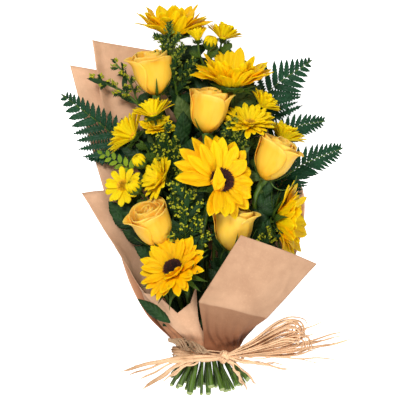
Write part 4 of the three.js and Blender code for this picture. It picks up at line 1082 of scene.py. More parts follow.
def daisy_bloom(name, head, seed, blooms):
    """A daisy chrysanthemum: three rings of strap petals round a low yellow eye."""
    radius, cup = head["radius"], head["cup"]
    eye = EYE_SHARE * radius
    place = pose(head["at"], head["faces"])
    front = toward_viewer(head["faces"])
    half_width = radius * min(0.17, 2.5 / head["petals"][0])
    # Each ring's petals, their lift and share of the full length, and the ring's height.
    rings = zip(head["petals"], (cup - 5, cup + 8, cup + 22), (1.0, 0.92, 0.76), (-2.6, -1.5, -0.4))
    skin = Skin()
    for layer, (count, lift, share, height) in enumerate(rings):
        def petal(i, turn):
            v = [vary(i, seed + 3 * layer + n) for n in range(5)]
            stand = head["near"] * max(0.0, cos(radians(turn - front)))
            length = (radius - 0.5 * eye) * share * (1 + 0.07 * v[0]) / cos(radians(cup * 0.6))
            return blade(length, half_width * (1 + 0.12 * v[1]), STRAP_OUTLINE, lift=lift + stand + 6 * v[2],
                         droop=-14 + 16 * v[3], cup=0.34, furrow=-0.08, twist=14 * v[4], rows=9, cols=9)

        ring(skin, place, count, 0.41 * layer, 0.55 * eye, height, petal, seed + layer,
             0.8 * blooms.petal / MM, tone=0.65)
    button = [(0.05, -3), (0.7 * eye, -2.6), (0.95 * eye, 0), (0.6 * eye, 2.0), (0.05, 2.4)]
    skin.turned(button, 14, place, 0.6)
    skin.piece(f"{name}_petals", [FINISH["strap"]], "daisy_petal", name)
    disc_florets(f"{name}_eye", place, "daisy_petal", "eye", seed, EYE_FLORETS,
                 radius=0.95 * eye, dome=2.8, hollow=0.0, size=0.1 * eye, height=2.6)


def daisy_spray(number, spray, blooms):
    """A stem that forks to its blooms and buds, with bracts under them and lobed leaves."""
    fork = np.array(spray["fork"], float)
    root = slot_point(spray["slot"])
    trunk = stem_line(spray["slot"], [fork + 0.4 * (root - fork), fork])
    lines, radii = [trunk], [stalk_radii(STEM_RADIUS["daisy"], trunk)]
    green, yellow = Skin(), Skin()
    for i, head in enumerate(spray["heads"]):
        is_bud = "bud" in head
        back = unit(head["faces"])
        top = np.array(head["at"], float) - back * (0.6 * head["bud"] if is_bud else 4.6)
        start = fork + 0.1 * (trunk[-1 - STEM_STEPS] - fork)
        knee = top - back * 0.2 * np.linalg.norm(top - start)
        lines.append(smooth_line([start, knee, top], 8))
        radii.append(0.62 * STEM_RADIUS["daisy"])
        place = pose(head["at"], head["faces"])
        seed = 40 + 11 * number + 5 * i
        if is_bud:
            daisy_bud(green, yellow, place, head["bud"], seed)
        else:
            bracts(green, place, head["radius"], seed, head["cup"] - 30, count=11, reach=0.28, width=0.07,
                   foot=-6.0, top=-3.2)
            daisy_bloom(f"{spray['name']}_bloom_{i + 1}", head, seed, blooms)
        for n, share in enumerate((0.35, 0.7)):
            spot, way = on_line(lines[-1], share)
            lobed_leaf(green, spot, way, 1 if (i + n) % 2 else -1, 20 + 4 * vary(i, n), seed + n)
    green.piece(f"{spray['name']}_green", [FINISH["sepal"]], "stem", f"{spray['name']}_stems")
    stems(f"{spray['name']}_stalks", lines, radii)
    if yellow.points:
        yellow.piece(f"{spray['name']}_buds", [FINISH["strap"]], "daisy_petal")


def daisy_bud(green, yellow, place, size, seed):
    """A bud: petals closed into a ball, held in a green cup."""
    for layer, (count, share) in enumerate(((10, 1.0), (8, 0.8), (5, 0.5))):
        def petal(i, turn):
            grid = blade(2.2 * size, 0.33 * size, STRAP_OUTLINE, lift=16, droop=132, cup=-0.4,
                         rows=13, cols=7)
            return grid * np.array([share, share, 1.0])

        ring(yellow, place, count, 0.4 * layer, 0.1 * size, -0.75 * size, petal, seed + layer, 0.5)
    cup = [(0.1, -1.1 * size), (0.5 * size, -1.0 * size), (0.95 * size, -0.45 * size),
           (0.9 * size, -0.3 * size), (0.1, -0.6 * size)]
    green.turned(cup, 14, place, 0.5)
    grid = blade(0.95 * size, 0.2 * size, BRACT_OUTLINE, lift=62, droop=50, cup=-0.2, rows=7, cols=5)
    rim = Matrix.Translation((0.86 * size, 0, -0.6 * size))
    for i in range(10):
        green.sheet(moved(grid, place @ spun(36 * i) @ rim), 0.6, 0.6)


def lobed_leaf(skin, root, way, hand, length, seed):
    """A daisy's leaf, with rounded lobes."""
    side = unit(np.cross(UP, way)) * -hand
    out = unit(0.7 * way + 0.6 * side + (0, 0, 0.25 + 0.3 * vary(seed, 2)))
    outline = toothed(LOBED_OUTLINE, 4, 0.45, 25)
    skin.leaf(root, out, length, 0.36 * length, outline, 0.4 + 0.4 * vary(seed, 4),
              lift=10, droop=-40, cup=0.2, twist=20 * vary(seed, 3), cols=7)


# ---- goldenrod
NARROW_OUTLINE = [(0, 0.3), (0.35, 1.0), (0.75, 0.6), (1, 0.02)]


def goldenrod_plume(k, line, spray, spread, leaves):
    """Side branches along an axis that bear short twigs, and where each bunch of florets goes."""
    length = length_of(line)
    bunches, twigs, radii = [], [], []
    for i in range(spray["branches"]):
        share = i / (spray["branches"] - 1)
        root, ahead = on_line(line, 1 - (spread * (1 - share) + 1) / length)
        left = unit(np.cross(UP, ahead))
        angle = 2.4 * i + k
        side = cos(angle) * left + np.array([0, 0, 0.45 * abs(sin(angle)) + 0.1])
        way = unit(ahead * (3 if share == 1 else 0.85) + side)
        reach = spray["reach"] * (1.12 - 0.5 * share) * (1 + 0.14 * vary(i, k))
        branch = smooth_line([root, root + way * reach * 0.55 + (0, 0, -1.5), root + way * reach], 7)
        twigs.append(branch)
        radii.append(np.linspace(0.8, 0.35, len(branch)))
        bunches.append(branch[-2:])
        for n in range(3, 14, 2 if reach > 16 else 4):
            spot, along = on_line(branch, n / 14)
            hand = 1 if n % 4 == 1 else -1
            across = hand * unit(np.cross(UP, along))
            out = unit(0.9 * along + 0.9 * across + (0, 0, 0.3 + 0.4 * vary(i, n)))
            end = spot + out * (3.0 + 0.22 * reach * (1.2 - n / 14))
            twigs.append(smooth_line([spot, (spot + end) / 2 + (0, 0, 0.4), end], 3))
            radii.append(0.4)
            if vary(n, i + k) > -0.6:
                bunches.append(np.array([end - out * 2.4, end + out * 0.6]))
            size = 5.5 + 0.12 * reach
            leaves.leaf(spot, along - 0.7 * across + (0, 0, 0.3), size + 2 * vary(i, n), 0.19 * size,
                        BRACT_OUTLINE, 0.7, lift=10, droop=-30, cup=0.3, rows=5, cols=3)
    return bunches, twigs, radii


def goldenrod(k, spray, foliage):
    """A stalk with a plume of florets, another where it forks, and narrow leaves below them."""
    name = spray["name"]
    line = stem_line(spray["slot"], spray["points"])
    leaves = Skin()
    bunches, twigs, radii = goldenrod_plume(k, line, spray, spray["spread"], leaves)
    if "second" in spray:
        fork = smooth_line(spray["second"], 8)
        more = goldenrod_plume(k + 3, fork, spray, 0.75 * length_of(fork), leaves)
        bunches += more[0]
        twigs += [fork, *more[1]]
        radii += [1.1, *more[2]]
    stalks = [stalk_radii(STEM_RADIUS["goldenrod"], line), *radii]
    stems(f"{name}_stalks", [line, *twigs], stalks, "sprig", "goldenrod")
    source = curve_source(name + "_florets", bunches, [1.0] * len(bunches))
    values = {"Step": 0.55 * MM, "Stray": 1.5 * MM, "Size": foliage.floret, "Seed": 100 + k,
              "Material": FINISH[spray.get("florets", "goldenrod")]}
    grown(f"{name}_florets", source, floret_tree(), values, "goldenrod", [name])
    count = 12 if "second" in spray else 34
    for i in range(count):
        root, ahead = on_line(line, 0.40 + 0.56 * i / (count - 1))
        angle = 2.4 * i + 1
        out = unit(ahead + 0.9 * np.array([cos(angle), 0, 0.5 * sin(angle)]))
        leaves.leaf(root, out, 27 + 6 * vary(i, k), 3.3, NARROW_OUTLINE, 0.5 + 0.5 * vary(i, k + 2),
                    lift=8, droop=-30, cup=0.3, rows=9, cols=5)
    leaves.piece(f"{name}_leaves", [FINISH["leaf"]], "leaf")


# ---- ferns
PINNA_OUTLINE = [(0, 0.7), (0.18, 1.0), (0.5, 0.9), (0.8, 0.56), (1, 0.05)]
# Side branches at least this long are cut deeply, almost to their ribs.
LONG_PINNA = 36


def pinna(skin, root, way, up, length, half_width, seed):
    """One side branch of a frond: a blade cut into teeth, deeper where it is long."""
    teeth = max(4, int(length / 3.4))
    outline = toothed(PINNA_OUTLINE, teeth, 0.25 if length < LONG_PINNA else 0.7, 3 * teeth + 1)
    skin.leaf(root, way, length, half_width, outline, 0.5 + 0.5 * vary(seed, 2), up=up, lift=2, droop=-20,
              cup=0.12, twist=8 * vary(seed, 1), wave=0.08, waves=0.5 * teeth, cols=5)


def fern(k, frond):
    """A frond: side branches at both sides of a rib, shorter towards its tip."""
    name = frond["name"]
    line = stem_line(frond["slot"], frond["points"])
    length = length_of(line)
    skin = Skin()
    for hand, count, longest in ((-1, frond["port_count"], frond["port"]),
                                 (1, frond["starboard_count"], frond["starboard"])):
        taper = 1.0 if longest > 40 else 0.62
        shares = 0.02 + 0.96 * np.linspace(1, 0, count + 1) ** 1.3
        for i in range(count):
            root, ahead = on_line(line, 1 - (frond["blade"] * shares[i] + 2 * hand) / length)
            left = unit(np.cross(UP, ahead))
            reach = (4 + longest * shares[i] ** taper) * (1 + 0.05 * vary(i, k))
            way = unit(ahead * 0.8 - left * hand + (0, 0, 0.10 + 0.06 * vary(i, k + hand)))
            up = unit(UP + 0.15 * left * hand)
            wide = 0.62 if reach > LONG_PINNA else 0.40
            half_width = 0.8 + wide * frond["blade"] * (shares[i] - shares[i + 1])
            pinna(skin, root, way, up, reach, half_width, 13 * k + i)
    end, ahead = on_line(line, 0.985)
    pinna(skin, end, ahead, UP, 9, 1.6, k)
    skin.piece(f"{name}_blade", [FINISH["fern"]], "fern", name)
    rib = stalk_radii(np.linspace(STEM_RADIUS["fern"], 0.5, len(line)), line)
    stems(f"{name}_rib", [line], [rib], "sprig", "fern")


# Leaves that show on their own: root, tip, half width, and whether the leaf is a pale one.
PLAIN_LEAVES = [
    ((-24, 100, 56), (-38, 140, 72), 12.0, True),
    ((-18, 60, 58), (-54, 98, 66), 13.0, False),
    ((-80, -20, 54), (-116, 16, 62), 12.0, False),
    ((12, 62, 68), (36, 98, 80), 8.0, False),
    ((22, 56, 68), (54, 78, 80), 8.0, True),
    ((50, -36, 64), (78, 12, 80), 11.0, False),
    ((-70, 56, 50), (-112, 78, 56), 9.0, False),
    ((34, 44, 60), (68, 36, 84), 8.0, True),
    ((-14, 126, 44), (6, 170, 56), 10.0, False),
    ((12, 126, 46), (-18, 164, 54), 10.0, False),
]
# A small yellow-green leaf of many leaflets that lies over the left fern: its root and tip.
PINNATE_LEAF = ((-84, 38, 62), (-132, 68, 66))
LEAFLETS = 11
# A leaf that pokes out of the wrap at the lower left: its root, tip and half width.
OUTER_LEAF = ((-47, -143, 72), (-88, -113, 72), 8.0)


def plain_leaves():
    """The broad leaves that show on their own, and the leaf of many leaflets."""
    skin = Skin()
    outline = toothed(LEAF_OUTLINE, 15, 0.08, 33)
    for n, (root, tip, half_width, pale) in enumerate(PLAIN_LEAVES):
        way = np.subtract(tip, root)
        skin.leaf(root, way, np.linalg.norm(way), half_width, outline, 0.5 + 0.5 * vary(n, 4), int(pale),
                  lift=8, droop=-26, cup=-0.22, wave=0.06, twist=16 * vary(n, 3), cols=9)
    skin.piece("leaves_beside_blooms", [FINISH["leaf"], FINISH["pale leaf"]], "leaf")
    root, tip = (np.array(end, float) for end in PINNATE_LEAF)
    line = smooth_line([root, (root + tip) / 2 + (0, 2, 2), tip], 8)
    stems("pinnate_leaf_rib", [line], [np.linspace(0.8, 0.4, len(line))], "sprig", "leaf")
    skin = Skin()
    for i in range(LEAFLETS):
        spot, way = on_line(line, 0.25 + 0.75 * i / (LEAFLETS - 1))
        hand = 0 if i == LEAFLETS - 1 else 1 if i % 2 else -1
        out = unit(0.8 * way + hand * unit(np.cross(UP, way)) + (0, 0, 0.15))
        skin.leaf(spot, out, 15 - 0.7 * i, 3.4 - 0.1 * i, outline, 0.5 + 0.5 * vary(i, 2),
                  lift=6, droop=-24, cup=0.2, cols=5)
    skin.piece("pinnate_leaf", [FINISH["fresh leaf"]], "leaf")


# The outline that the leaves between the blooms fill.
FILL_EDGE = [
    (-30, -128), (-72, -92), (-92, -40), (-100, 20), (-104, 74), (-88, 122), (-72, 168), (-46, 204), (4, 210),
    (40, 196), (84, 160), (104, 104), (112, 44), (110, -20), (92, -44), (40, -44), (12, -110),
]
FILL_PITCH, FILL_HEIGHT = 12.5, 38
# Such a leaf's shortest and longest, and how far its tip is at least ahead of its root.
FILL_SHORTEST, FILL_LONGEST, FILL_AHEAD = 20, 58, 9
FILL_OUTLINE = [(0, 0.12), (0.15, 0.6), (0.4, 1.0), (0.7, 0.74), (0.9, 0.3), (1, 0.02)]
OUT_OF_REACH = 1e3


def inside(x, y, edge):
    """Whether a point lies inside a closed outline."""
    odd = False
    for (x0, y0), (x1, y1) in zip(edge, edge[1:] + edge[:1]):
        if (y0 > y) != (y1 > y) and x < x0 + (y - y0) * (x1 - x0) / (y1 - y0):
            odd = not odd
    return odd


def fill_stalks():
    """Points on the stems from which the leaves between the blooms may spring."""
    lines = [stem_line(b["slot"], head_stops(b, SUNFLOWER_SETBACK)) for b in SUNFLOWERS]
    lines += [stem_line(b["slot"], head_stops(b, ROSE_SETBACK)) for b in ROSES]
    lines += [stem_line(s["slot"], s["points"]) for s in GOLDENRODS + TWIGS]
    spots = [on_line(line, share)[0] for line in lines for share in np.linspace(0.3, 0.94, 40)]
    return np.array(spots)


def fill_leaves():
    """Leaves that spring from the nearest stem and reach each point of a loose grid between blooms."""
    spots = fill_stalks()
    skin = Skin()
    outlines = (toothed(LEAF_OUTLINE, 8, 0.14, 21), toothed(FILL_OUTLINE, 13, 0.05, 21))
    xs, ys = np.array(FILL_EDGE).T
    n = 0
    for x in np.arange(xs.min(), xs.max(), FILL_PITCH):
        for y in np.arange(ys.min(), ys.max(), FILL_PITCH):
            n += 1
            tip = np.array([x + 6 * vary(n, 1), y + 6 * vary(n, 2), FILL_HEIGHT + 9 * vary(n, 3)])
            if not inside(tip[0], tip[1], FILL_EDGE):
                continue
            away = np.linalg.norm((spots - tip) * (1, 1, 0.6), axis=1)
            away[spots[:, 1] > tip[1] - FILL_AHEAD] = OUT_OF_REACH
            away[away < FILL_SHORTEST] = OUT_OF_REACH
            root = spots[np.argmin(away)]
            length = np.linalg.norm(tip - root)
            if length > FILL_LONGEST:
                continue
            width = min(0.29 * length, 9.5) * (1 + 0.15 * vary(n, 4))
            pale = int(n % 5 == 0)
            skin.leaf(root, tip - root, length * 1.04, width, outlines[n % 2], 0.5 + 0.5 * vary(n, 6), pale,
                      lift=14, droop=-28, cup=-0.2, wave=0.06, twist=26 * vary(n, 5), cols=7)
    skin.piece("leaves_between", [FINISH["leaf"], FINISH["pale leaf"]], "leaf")


# ---- leafy twigs
def leafy_twig(k, twig):
    """A twig with leaves at both sides in turn, and on the first one the leaf that pokes out."""
    name = twig["name"]
    line = stem_line(twig["slot"], twig["points"])
    skin = Skin()
    outline = toothed(LEAF_OUTLINE, 11, 0.12, 33)
    for i in range(twig["leaves"]):
        share = i / (twig["leaves"] - 1)
        root, ahead = on_line(line, 0.98 - 0.4 * (1 - share))
        hand = 1 if i % 2 else -1
        way = unit(0.9 * ahead + (hand * (1 - share * share), 0, 0.25 + 0.25 * vary(i, k)))
        length = twig["length"] * (1 + 0.1 * vary(i, k))
        skin.leaf(root, way, length, 0.3 * twig["length"], outline, 0.5 + 0.5 * vary(i, k + 5), lift=10,
                  droop=-36, cup=-0.2, wave=0.05, twist=16 * vary(i, k + 3), cols=9)
    if k == 0:
        root, tip, half_width = OUTER_LEAF
        way = np.subtract(tip, root)
        skin.leaf(root, way, np.linalg.norm(way), half_width, outline, 0.7, cup=-0.35, wave=0.08, cols=9)
    skin.piece(f"{name}_leaves", [FINISH["leaf"]], "leaf", name)
    stems(f"{name}_stalk", [line], [stalk_radii(STEM_RADIUS["leafy"], line)], "stem", "leaf")


# ---- the paper wrap
NECK_Y, LEAVE_Y = -192.0, -176.0
# Where along its length the front flap is creased; the paper finish paints shade below it.
CREASE_ALONG = 0.6
# A sheet's columns, and its rows from each row of its points to the next.
SHEET_ACROSS, SHEET_STEPS = 72, 18
# Each sheet leaves the tie between two angles on its oval, drawn in by inset, and runs on through rows
# of points. It stays above its floor. crumple is how deep its dents are. gather gives its pleats near
# the tie: how deep they are, how far along they reach, how many, and how high the paper rises at their
# ends. hem is how wide a strip is turned up at its side and how high. corner is the row of its crease,
# and the last row of a straight sheet isn't smoothed.
SHEETS = {
    "paper_outer": dict(floor=0.4, tie=(-96, 96), inset=2.9, crumple=0.6, rows=[
        [(-78, -134, 34), (-52, -134, 3), (0, -134, 0.4), (46, -134, 4), (70, -138, 38)],
        [(-102, -88, 30), (-66, -84, 1), (0, -80, 0.4), (62, -84, 2), (98, -96, 40)],
        [(-132, 18, 18), (-84, 14, 0.4), (0, 10, 0.4), (74, 10, 0.4), (122, 14, 32)],
        [(-153, 92, 12), (-96, 92, 0.4), (-20, 92, 0.4), (44, 92, 0.4), (84, 92, 6)],
        [(-177, 183, 10), (-114, 173, 0.4), (-51, 165, 0.4), (10, 158, 0.4), (58, 152, 2)]]),
    "paper_inner": dict(floor=2.9, tie=(-48, 48), inset=4.1, crumple=0.9, hem=(0.06, 6.5), rows=[
        [(-34, -124, 4), (-12, -124, 3), (12, -124, 3), (34, -124, 4)],
        [(-58, 0, 3), (-20, 0, 3), (18, 0, 3), (54, 0, 3)],
        [(-129, 112, 12), (-72, 110, 3), (-14, 108, 3), (44, 106, 3)],
        [(-149, 214, 22), (-88, 205, 6), (-28, 195, 3), (26, 188, 3)]]),
    "paper_left": dict(floor=4.0, tie=(-144, -64), inset=4.1, crumple=1.3, gather=(2.4, 0.55, 5, 1.5), rows=[
        [(-56, -134, 60), (-70, -134, 46), (-69, -134, 31), (-62, -134, 19)],
        [(-84, -102, 64), (-88, -98, 48), (-84, -96, 30), (-72, -95, 14)],
        [(-106, -66, 60), (-102, -62, 44), (-92, -60, 26), (-78, -58, 12)],
        [(-159, 19, 50), (-138, 22, 37), (-116, 22, 22), (-94, 22, 11)]]),
    "paper_pleat": dict(floor=0.0, tie=(-152, -184), inset=4.1, crumple=0.8, gather=(1.6, 0.7, 3, 0.0),
                        straight=True, rows=[
        [(-48, -146, 60), (-27, -147, 66), (-10, -146, 58)],
        [(-81, -106, 66), (-62, -108, 84), (-38, -131, 74), (-22, -118, 73), (-15, -96, 80)]]),
    "paper_front": dict(floor=0.0, tie=(-176, -256), inset=2.5, crumple=1.3, gather=(4.0, 0.75, 5, 0.0),
                        corner=3, rows=[
        [(-6, -153, 68), (12, -156, 74), (32, -157, 70), (52, -153, 54)],
        [(-11, -115, 96), (14, -120, 107), (42, -127, 106), (74, -136, 80)],
        [(40, -33, 116), (72, -44, 120), (104, -56, 108), (135, -69, 86)]]),
}


def soft_step(x, low, high):
    """0 below low and 1 above high, with a soft step between them."""
    t = np.clip((x - low) / (high - low), 0, 1)
    return t * t * (3 - 2 * t)


def tie_point(degrees, inset, y):
    """A point on the tie's oval, drawn in. Angle 0 is the bottom and 90 the right side."""
    def bulge(w):
        return math.copysign(abs(w) ** (2 / TIE_SQUARENESS), w)

    s, c = sin(radians(degrees)), cos(radians(degrees))
    return (TIE_HALF_WIDTH - inset) * bulge(s), y, TIE_Z - (TIE_HALF_HEIGHT - inset) * bulge(c)


def sheet_grid(sheet):
    """The sheet as a grid: rows from the neck out, and columns across. It may be creased along a row."""
    rows = []
    for y in (NECK_Y, LEAVE_Y):
        turns = np.linspace(*sheet["tie"], SHEET_ACROSS + 1)
        rows.append([tie_point(a, sheet["inset"], y) for a in turns])
    for k, row in enumerate(sheet["rows"]):
        fine = smooth_line(row, 24)
        if sheet.get("straight") and k == len(sheet["rows"]) - 1:
            fine = np.array(row, float)
        pick = np.linspace(0, len(fine) - 1, SHEET_ACROSS + 1)
        low = np.floor(pick).astype(int).clip(max=len(fine) - 2)
        rows.append(fine[low] + (pick - low)[:, None] * (fine[low + 1] - fine[low]))
    rows = np.array(rows)
    corner = sheet.get("corner", len(rows) - 1)
    lines = []
    for j in range(SHEET_ACROSS + 1):
        line = smooth_line(rows[: corner + 1, j], SHEET_STEPS)
        if corner < len(rows) - 1:
            line = np.vstack([line, smooth_line(rows[corner:, j], 2 * SHEET_STEPS)[1:]])
        lines.append(line)
    return np.array(lines).transpose(1, 0, 2)


def crumpled(grid, sheet, seed):
    """Soft dents, creases, and pleats that run out from the raffia to a sharp crease."""
    rows, cols = grid.shape[:2]
    amount = sheet["crumple"]
    press, reach, pleats, rise = sheet.get("gather", (1.0, 0.45, 4, 0.0))
    if "corner" in sheet:
        reach = SHEET_STEPS * sheet["corner"] / (rows - 1)
    hem, lift = sheet.get("hem", (0.01, 0.0))
    depth = np.zeros((rows, cols))
    for i in range(rows):
        s = i / (rows - 1)
        ease = float(soft_step(s, 0.12, 0.27))
        for j in range(cols):
            t = 2 * j / (cols - 1) - 1
            x, y = grid[i, j, :2]
            dent = noise.noise(Vector((x * 0.022, y * 0.022, seed)))
            crease = 1 - 2 * abs(noise.noise(Vector((x * 0.02 + 5, y * 0.014, seed + 7))))
            fading = max(0.0, 1 - s / reach) ** 0.6
            fan = abs(((t + 0.05 * sin(9 * s + seed)) * pleats + seed) % 2 - 1) - 0.5
            tent = max(0.0, 1 - (reach - s) / 0.10) if s < reach else max(0.0, 1 - (s - reach) / 0.2)
            turned_up = max(0.0, t - 1 + 2 * hem) / (2 * hem)
            depth[i, j] = ease * (
                amount * dent + 2.2 * amount * max(0.0, crease - 0.78) + press * fading * fan
                + rise * tent + lift * turned_up
            )
    return grid + normals(grid) * depth[..., None]


def paper_sheet(k, name, sheet, wrap):
    """One sheet of the wrap, its upper side up."""
    grid = sheet_grid(sheet)
    middle = grid.shape[1] // 2
    out, across = grid[-1, middle] - grid[-2, middle], grid[-1, -1] - grid[-1, 0]
    if np.cross(out, across)[2] <= 0:
        grid = grid[:, ::-1]
    grid = crumpled(grid, sheet, 11.0 * k + 1)
    grid[..., 2] = np.maximum(grid[..., 2], sheet["floor"])
    skin = Skin()
    # A tone of 1 marks the front flap for the paper finish's painted shade.
    skin.sheet(grid, wrap.thickness / MM, float("corner" in sheet), thin_edge=1.0)
    skin.piece(f"{name}_kraft", [FINISH["paper"]], "paper", name)


# ---- the raffia
KNOT = np.array([20.0, -187.0, 55.0])
WINDINGS, WINDING_STEPS, LOOPS, KNOT_TURNS, HANK_STRANDS = 13, 96, 26, 7, 10
# Where each loose end lies, and its width beside a usual strand's.
TAIL_ENDS = [
    ((-111, -208, 26), 2.0), ((-104, -215, 24), 1.2), ((-84, -232, 22), 2.0), ((-89, -219, 28), 1.2),
    ((-48, -212, 50), 1.7), ((-60, -222, 32), 0.9), ((50, -233, 28), 1.4), ((62, -224, 32), 1.1),
    ((102, -204, 38), 1.4), ((86, -196, 40), 0.8), ((166, -192, 40), 0.8), ((172, -156, 46), 1.3),
    ((183, -165, 42), 1.4), ((150, -139, 54), 0.9), ((140, -178, 44), 0.8), ((176, -161, 44), 0.9),
    ((158, -164, 46), 1.0), ((136, -158, 50), 0.9), ((164, -172, 44), 0.8), ((118, -172, 48), 0.9),
]


def wavy(line, seed, amount):
    """A line with slow bends of its own, none at its first point."""
    s = np.linspace(0, 1, len(line))
    for axis in range(3):
        bend = np.zeros(len(s))
        for n in range(1, 4):
            phase = pi * vary(seed, 5 * axis + n)
            bend += np.sin(2 * pi * n * s + phase) - sin(phase)
        share = 0.5 if axis == 2 else 1.0
        line[:, axis] += share * amount * bend / 3 * np.minimum(1, 4 * s)
    return line


def ribbon_tilt(line, seed):
    """How a flat strand turns over along its line, in radians."""
    return 2.2 * vary(seed, 3) * np.linspace(0, 1, len(line)) + 0.5 * vary(seed, 9)


def tapered(half_width, points, seed):
    """A strand's half width along it: uneven, and split to a point at its end."""
    s = np.linspace(0, 1, points)
    uneven = 1 + 0.18 * np.sin(9 * s + 3 * vary(seed, 1))
    return half_width * uneven * (1 - 0.75 * soft_step(s, 0.9, 1.0))


def strands(name, lines, radii, tilts, *nodes, flatness=0.55, finish="raffia"):
    """A piece of raffia: a flat strand along each line."""
    values = {"Sides": 8, "Flatness": flatness, "Material": FINISH[finish]}
    grown(name, curve_source(name, lines, radii, tilts), sweep_tree(), values, "raffia", nodes)


def raffia_band(wrap):
    """Strands wound round the neck, lower at the knot, that cross each other a little."""
    lines, radii, tilts = [], [], []
    for n in range(WINDINGS):
        line = []
        for i in range(WINDING_STEPS + 1):
            turn = 360 * i / WINDING_STEPS
            drift = 0.75 * (n - WINDINGS // 2) + 1.8 * sin(radians(turn * (1 + n % 2)) + n)
            out = 0.9 + 0.45 * (n % 5) + 0.4 * sin(radians(3 * turn) + 2 * n)
            x, y, z = tie_point(turn + 9 * n, -out, TIE_Y)
            upper = float(soft_step(z, TIE_Z - 10, TIE_Z + 16))
            line.append((x, y + np.clip(drift, -6, 6) - upper * (0.09 * x + 1.2), z))
        lines.append(np.array(line))
        radii.append(wrap.strand / MM * (0.95 + 0.35 * vary(n, 2)))
        tilts.append(np.linspace(0, 2 * pi * (n % 3 - 1), WINDING_STEPS + 1))
    strands("raffia_windings", lines, radii, tilts, "raffia_band")


def bow_loops():
    """Long loops that leave the knot to the right in a sheaf, one inside the other."""
    lines = []
    half = LOOPS // 2
    for i in range(LOOPS):
        nest = (i % half) / (half - 1)
        swing = radians(15 + 8 * vary(i, 1))
        reach = 112 - 18 * nest + 3 * vary(i, 2)
        rise = 8 + 7 * vary(i, 3)
        width = 17 - 12 * nest + 2 * vary(i, 4)
        turn = np.array([[cos(swing), -sin(swing)], [sin(swing), cos(swing)]])
        stops = [(2, 0.6, 1), (0.38 * reach, 0.42 * width, rise), (0.7 * reach, 0.95 * width, rise + 1),
                 (0.88 * reach, 1.0 * width, rise), (0.985 * reach, 0.45 * width, rise - 1),
                 (0.97 * reach, -0.3 * width, rise - 3), (0.82 * reach, -0.62 * width, rise - 4),
                 (0.4 * reach, -0.3 * width, rise - 5), (2, -0.6, -1)]
        line = smooth_line(stops, 7)
        line[:, :2] = line[:, :2] @ turn.T
        ease = np.sin(np.linspace(0, pi, len(line)))[:, None]
        bent = wavy(line.copy(), i, 2.2) * ease + line * (1 - ease)
        lines.append(bent + KNOT)
    return lines


def bow_tails():
    """Loose ends, wide ones with thin split strands beside them, and how thick each is."""
    lines, widths = [], []
    for i, (end, width) in enumerate(TAIL_ENDS):
        end = np.array(end, float)
        away = unit((end - KNOT) * (1, 1, 0))
        start = KNOT + away * 3 + (0, 0, i % 3 - 1)
        middle = start + (end - start) * (0.5, 0.16 if end[0] < 0 else 0.42, 0)
        middle[2] = max(KNOT[2], end[2]) + 1 - (i % 2)
        lines.append(wavy(smooth_line([start, middle, end], 14), i + 40, 2.0))
        widths.append(width)
        if i % 2 == 0:
            aside = end + np.array([7 * vary(i, 5), 7 * vary(i, 6), 3.0])
            lines.append(wavy(smooth_line([start, middle, 0.25 * middle + 0.75 * aside], 14), i + 70, 3.0))
            widths.append(0.6 * width)
    return lines, widths


def knot_turns():
    """Slanted turns over the knot."""
    lines = []
    for n in range(KNOT_TURNS):
        angle = np.linspace(0, 2 * pi, 33)
        across = 1.35 * (n - KNOT_TURNS // 2) + 1.3 * np.cos(angle)
        along = (7.2 + 0.4 * vary(n, 2)) * np.sin(angle)
        height = 4.4 * np.cos(angle + 0.5 * vary(n, 4)) + 0.6
        slant = radians(-32 + 9 * vary(n, 5))
        x = across * cos(slant) - along * sin(slant)
        y = across * sin(slant) + along * cos(slant)
        lines.append(np.stack([x, y, height], 1) + KNOT)
    return lines


def twisted_hank():
    """A hank of strands that lies over the paper beside the knot, twisted on itself, darker with painted
    shade.
    """
    start, end = np.array([-50.0, -166.0, 49.0]), np.array([2.0, -181.0, 61.0])
    lines = []
    for n in range(HANK_STRANDS):
        s = np.linspace(0, 1, 48)[:, None]
        turn = 2 * pi * (2.2 * s + n / HANK_STRANDS)
        width = (5.6 + vary(n, 1)) * np.sin(pi * np.clip(s, 0.08, 0.94))
        swing = np.hstack([0.2 * width * np.sin(turn), width * np.cos(turn), 0.5 * width * np.sin(turn)])
        arch = np.array([0, 1.5, 4.5]) * np.sin(pi * s)
        lines.append(wavy(start + (end - start) * s + swing + arch, n + 90, 1.2))
    return lines


def raffia_bow(wrap):
    """The loose ends, loops and knot, and beside them the hank in painted shade."""
    strand = wrap.strand / MM
    tails, widths = bow_tails()
    loops, turns = bow_loops(), knot_turns()
    lines = tails + loops + turns
    widths = widths + [0.85 + 0.3 * vary(n, 6) for n in range(len(loops))] + [1.1] * len(turns)
    radii = [tapered(strand * width, len(line), n) for n, (line, width) in enumerate(zip(lines, widths))]
    tilts = [ribbon_tilt(line, n) * (0.3 if n < len(tails) else 1.0) for n, line in enumerate(lines)]
    strands("raffia_strands", lines, radii, tilts, "raffia_bow")
    lines = twisted_hank()
    radii = [tapered(0.85 * strand, len(line), n) for n, line in enumerate(lines)]
    tilts = [ribbon_tilt(line, n) for n, line in enumerate(lines)]
    # The hank's finish is raffia darkened with painted shade.
    strands("raffia_twist", lines, radii, tilts, flatness=0.4, finish="old raffia")


# ---- the stage, in metres
FLOOR_SIZE, FLOOR_DROP, FLOOR_GLOW = 6.0, 0.0004, 0.85
BLOOM_HEIGHT = 0.065
SENSOR = 36.0
# The lights: where each stands, its width and its power in watts.
LIGHTS = {"key": ((-0.45, 0.6, 2.0), 0.45, 32.0), "fill": ((0.8, -1.2, 1.5), 1.2, 24.0)}
LAMP_COLOUR, SKY_COLOUR, SKY_STRENGTH = (1.0, 0.99, 0.97), (1.0, 1.0, 1.0, 1.0), 0.39


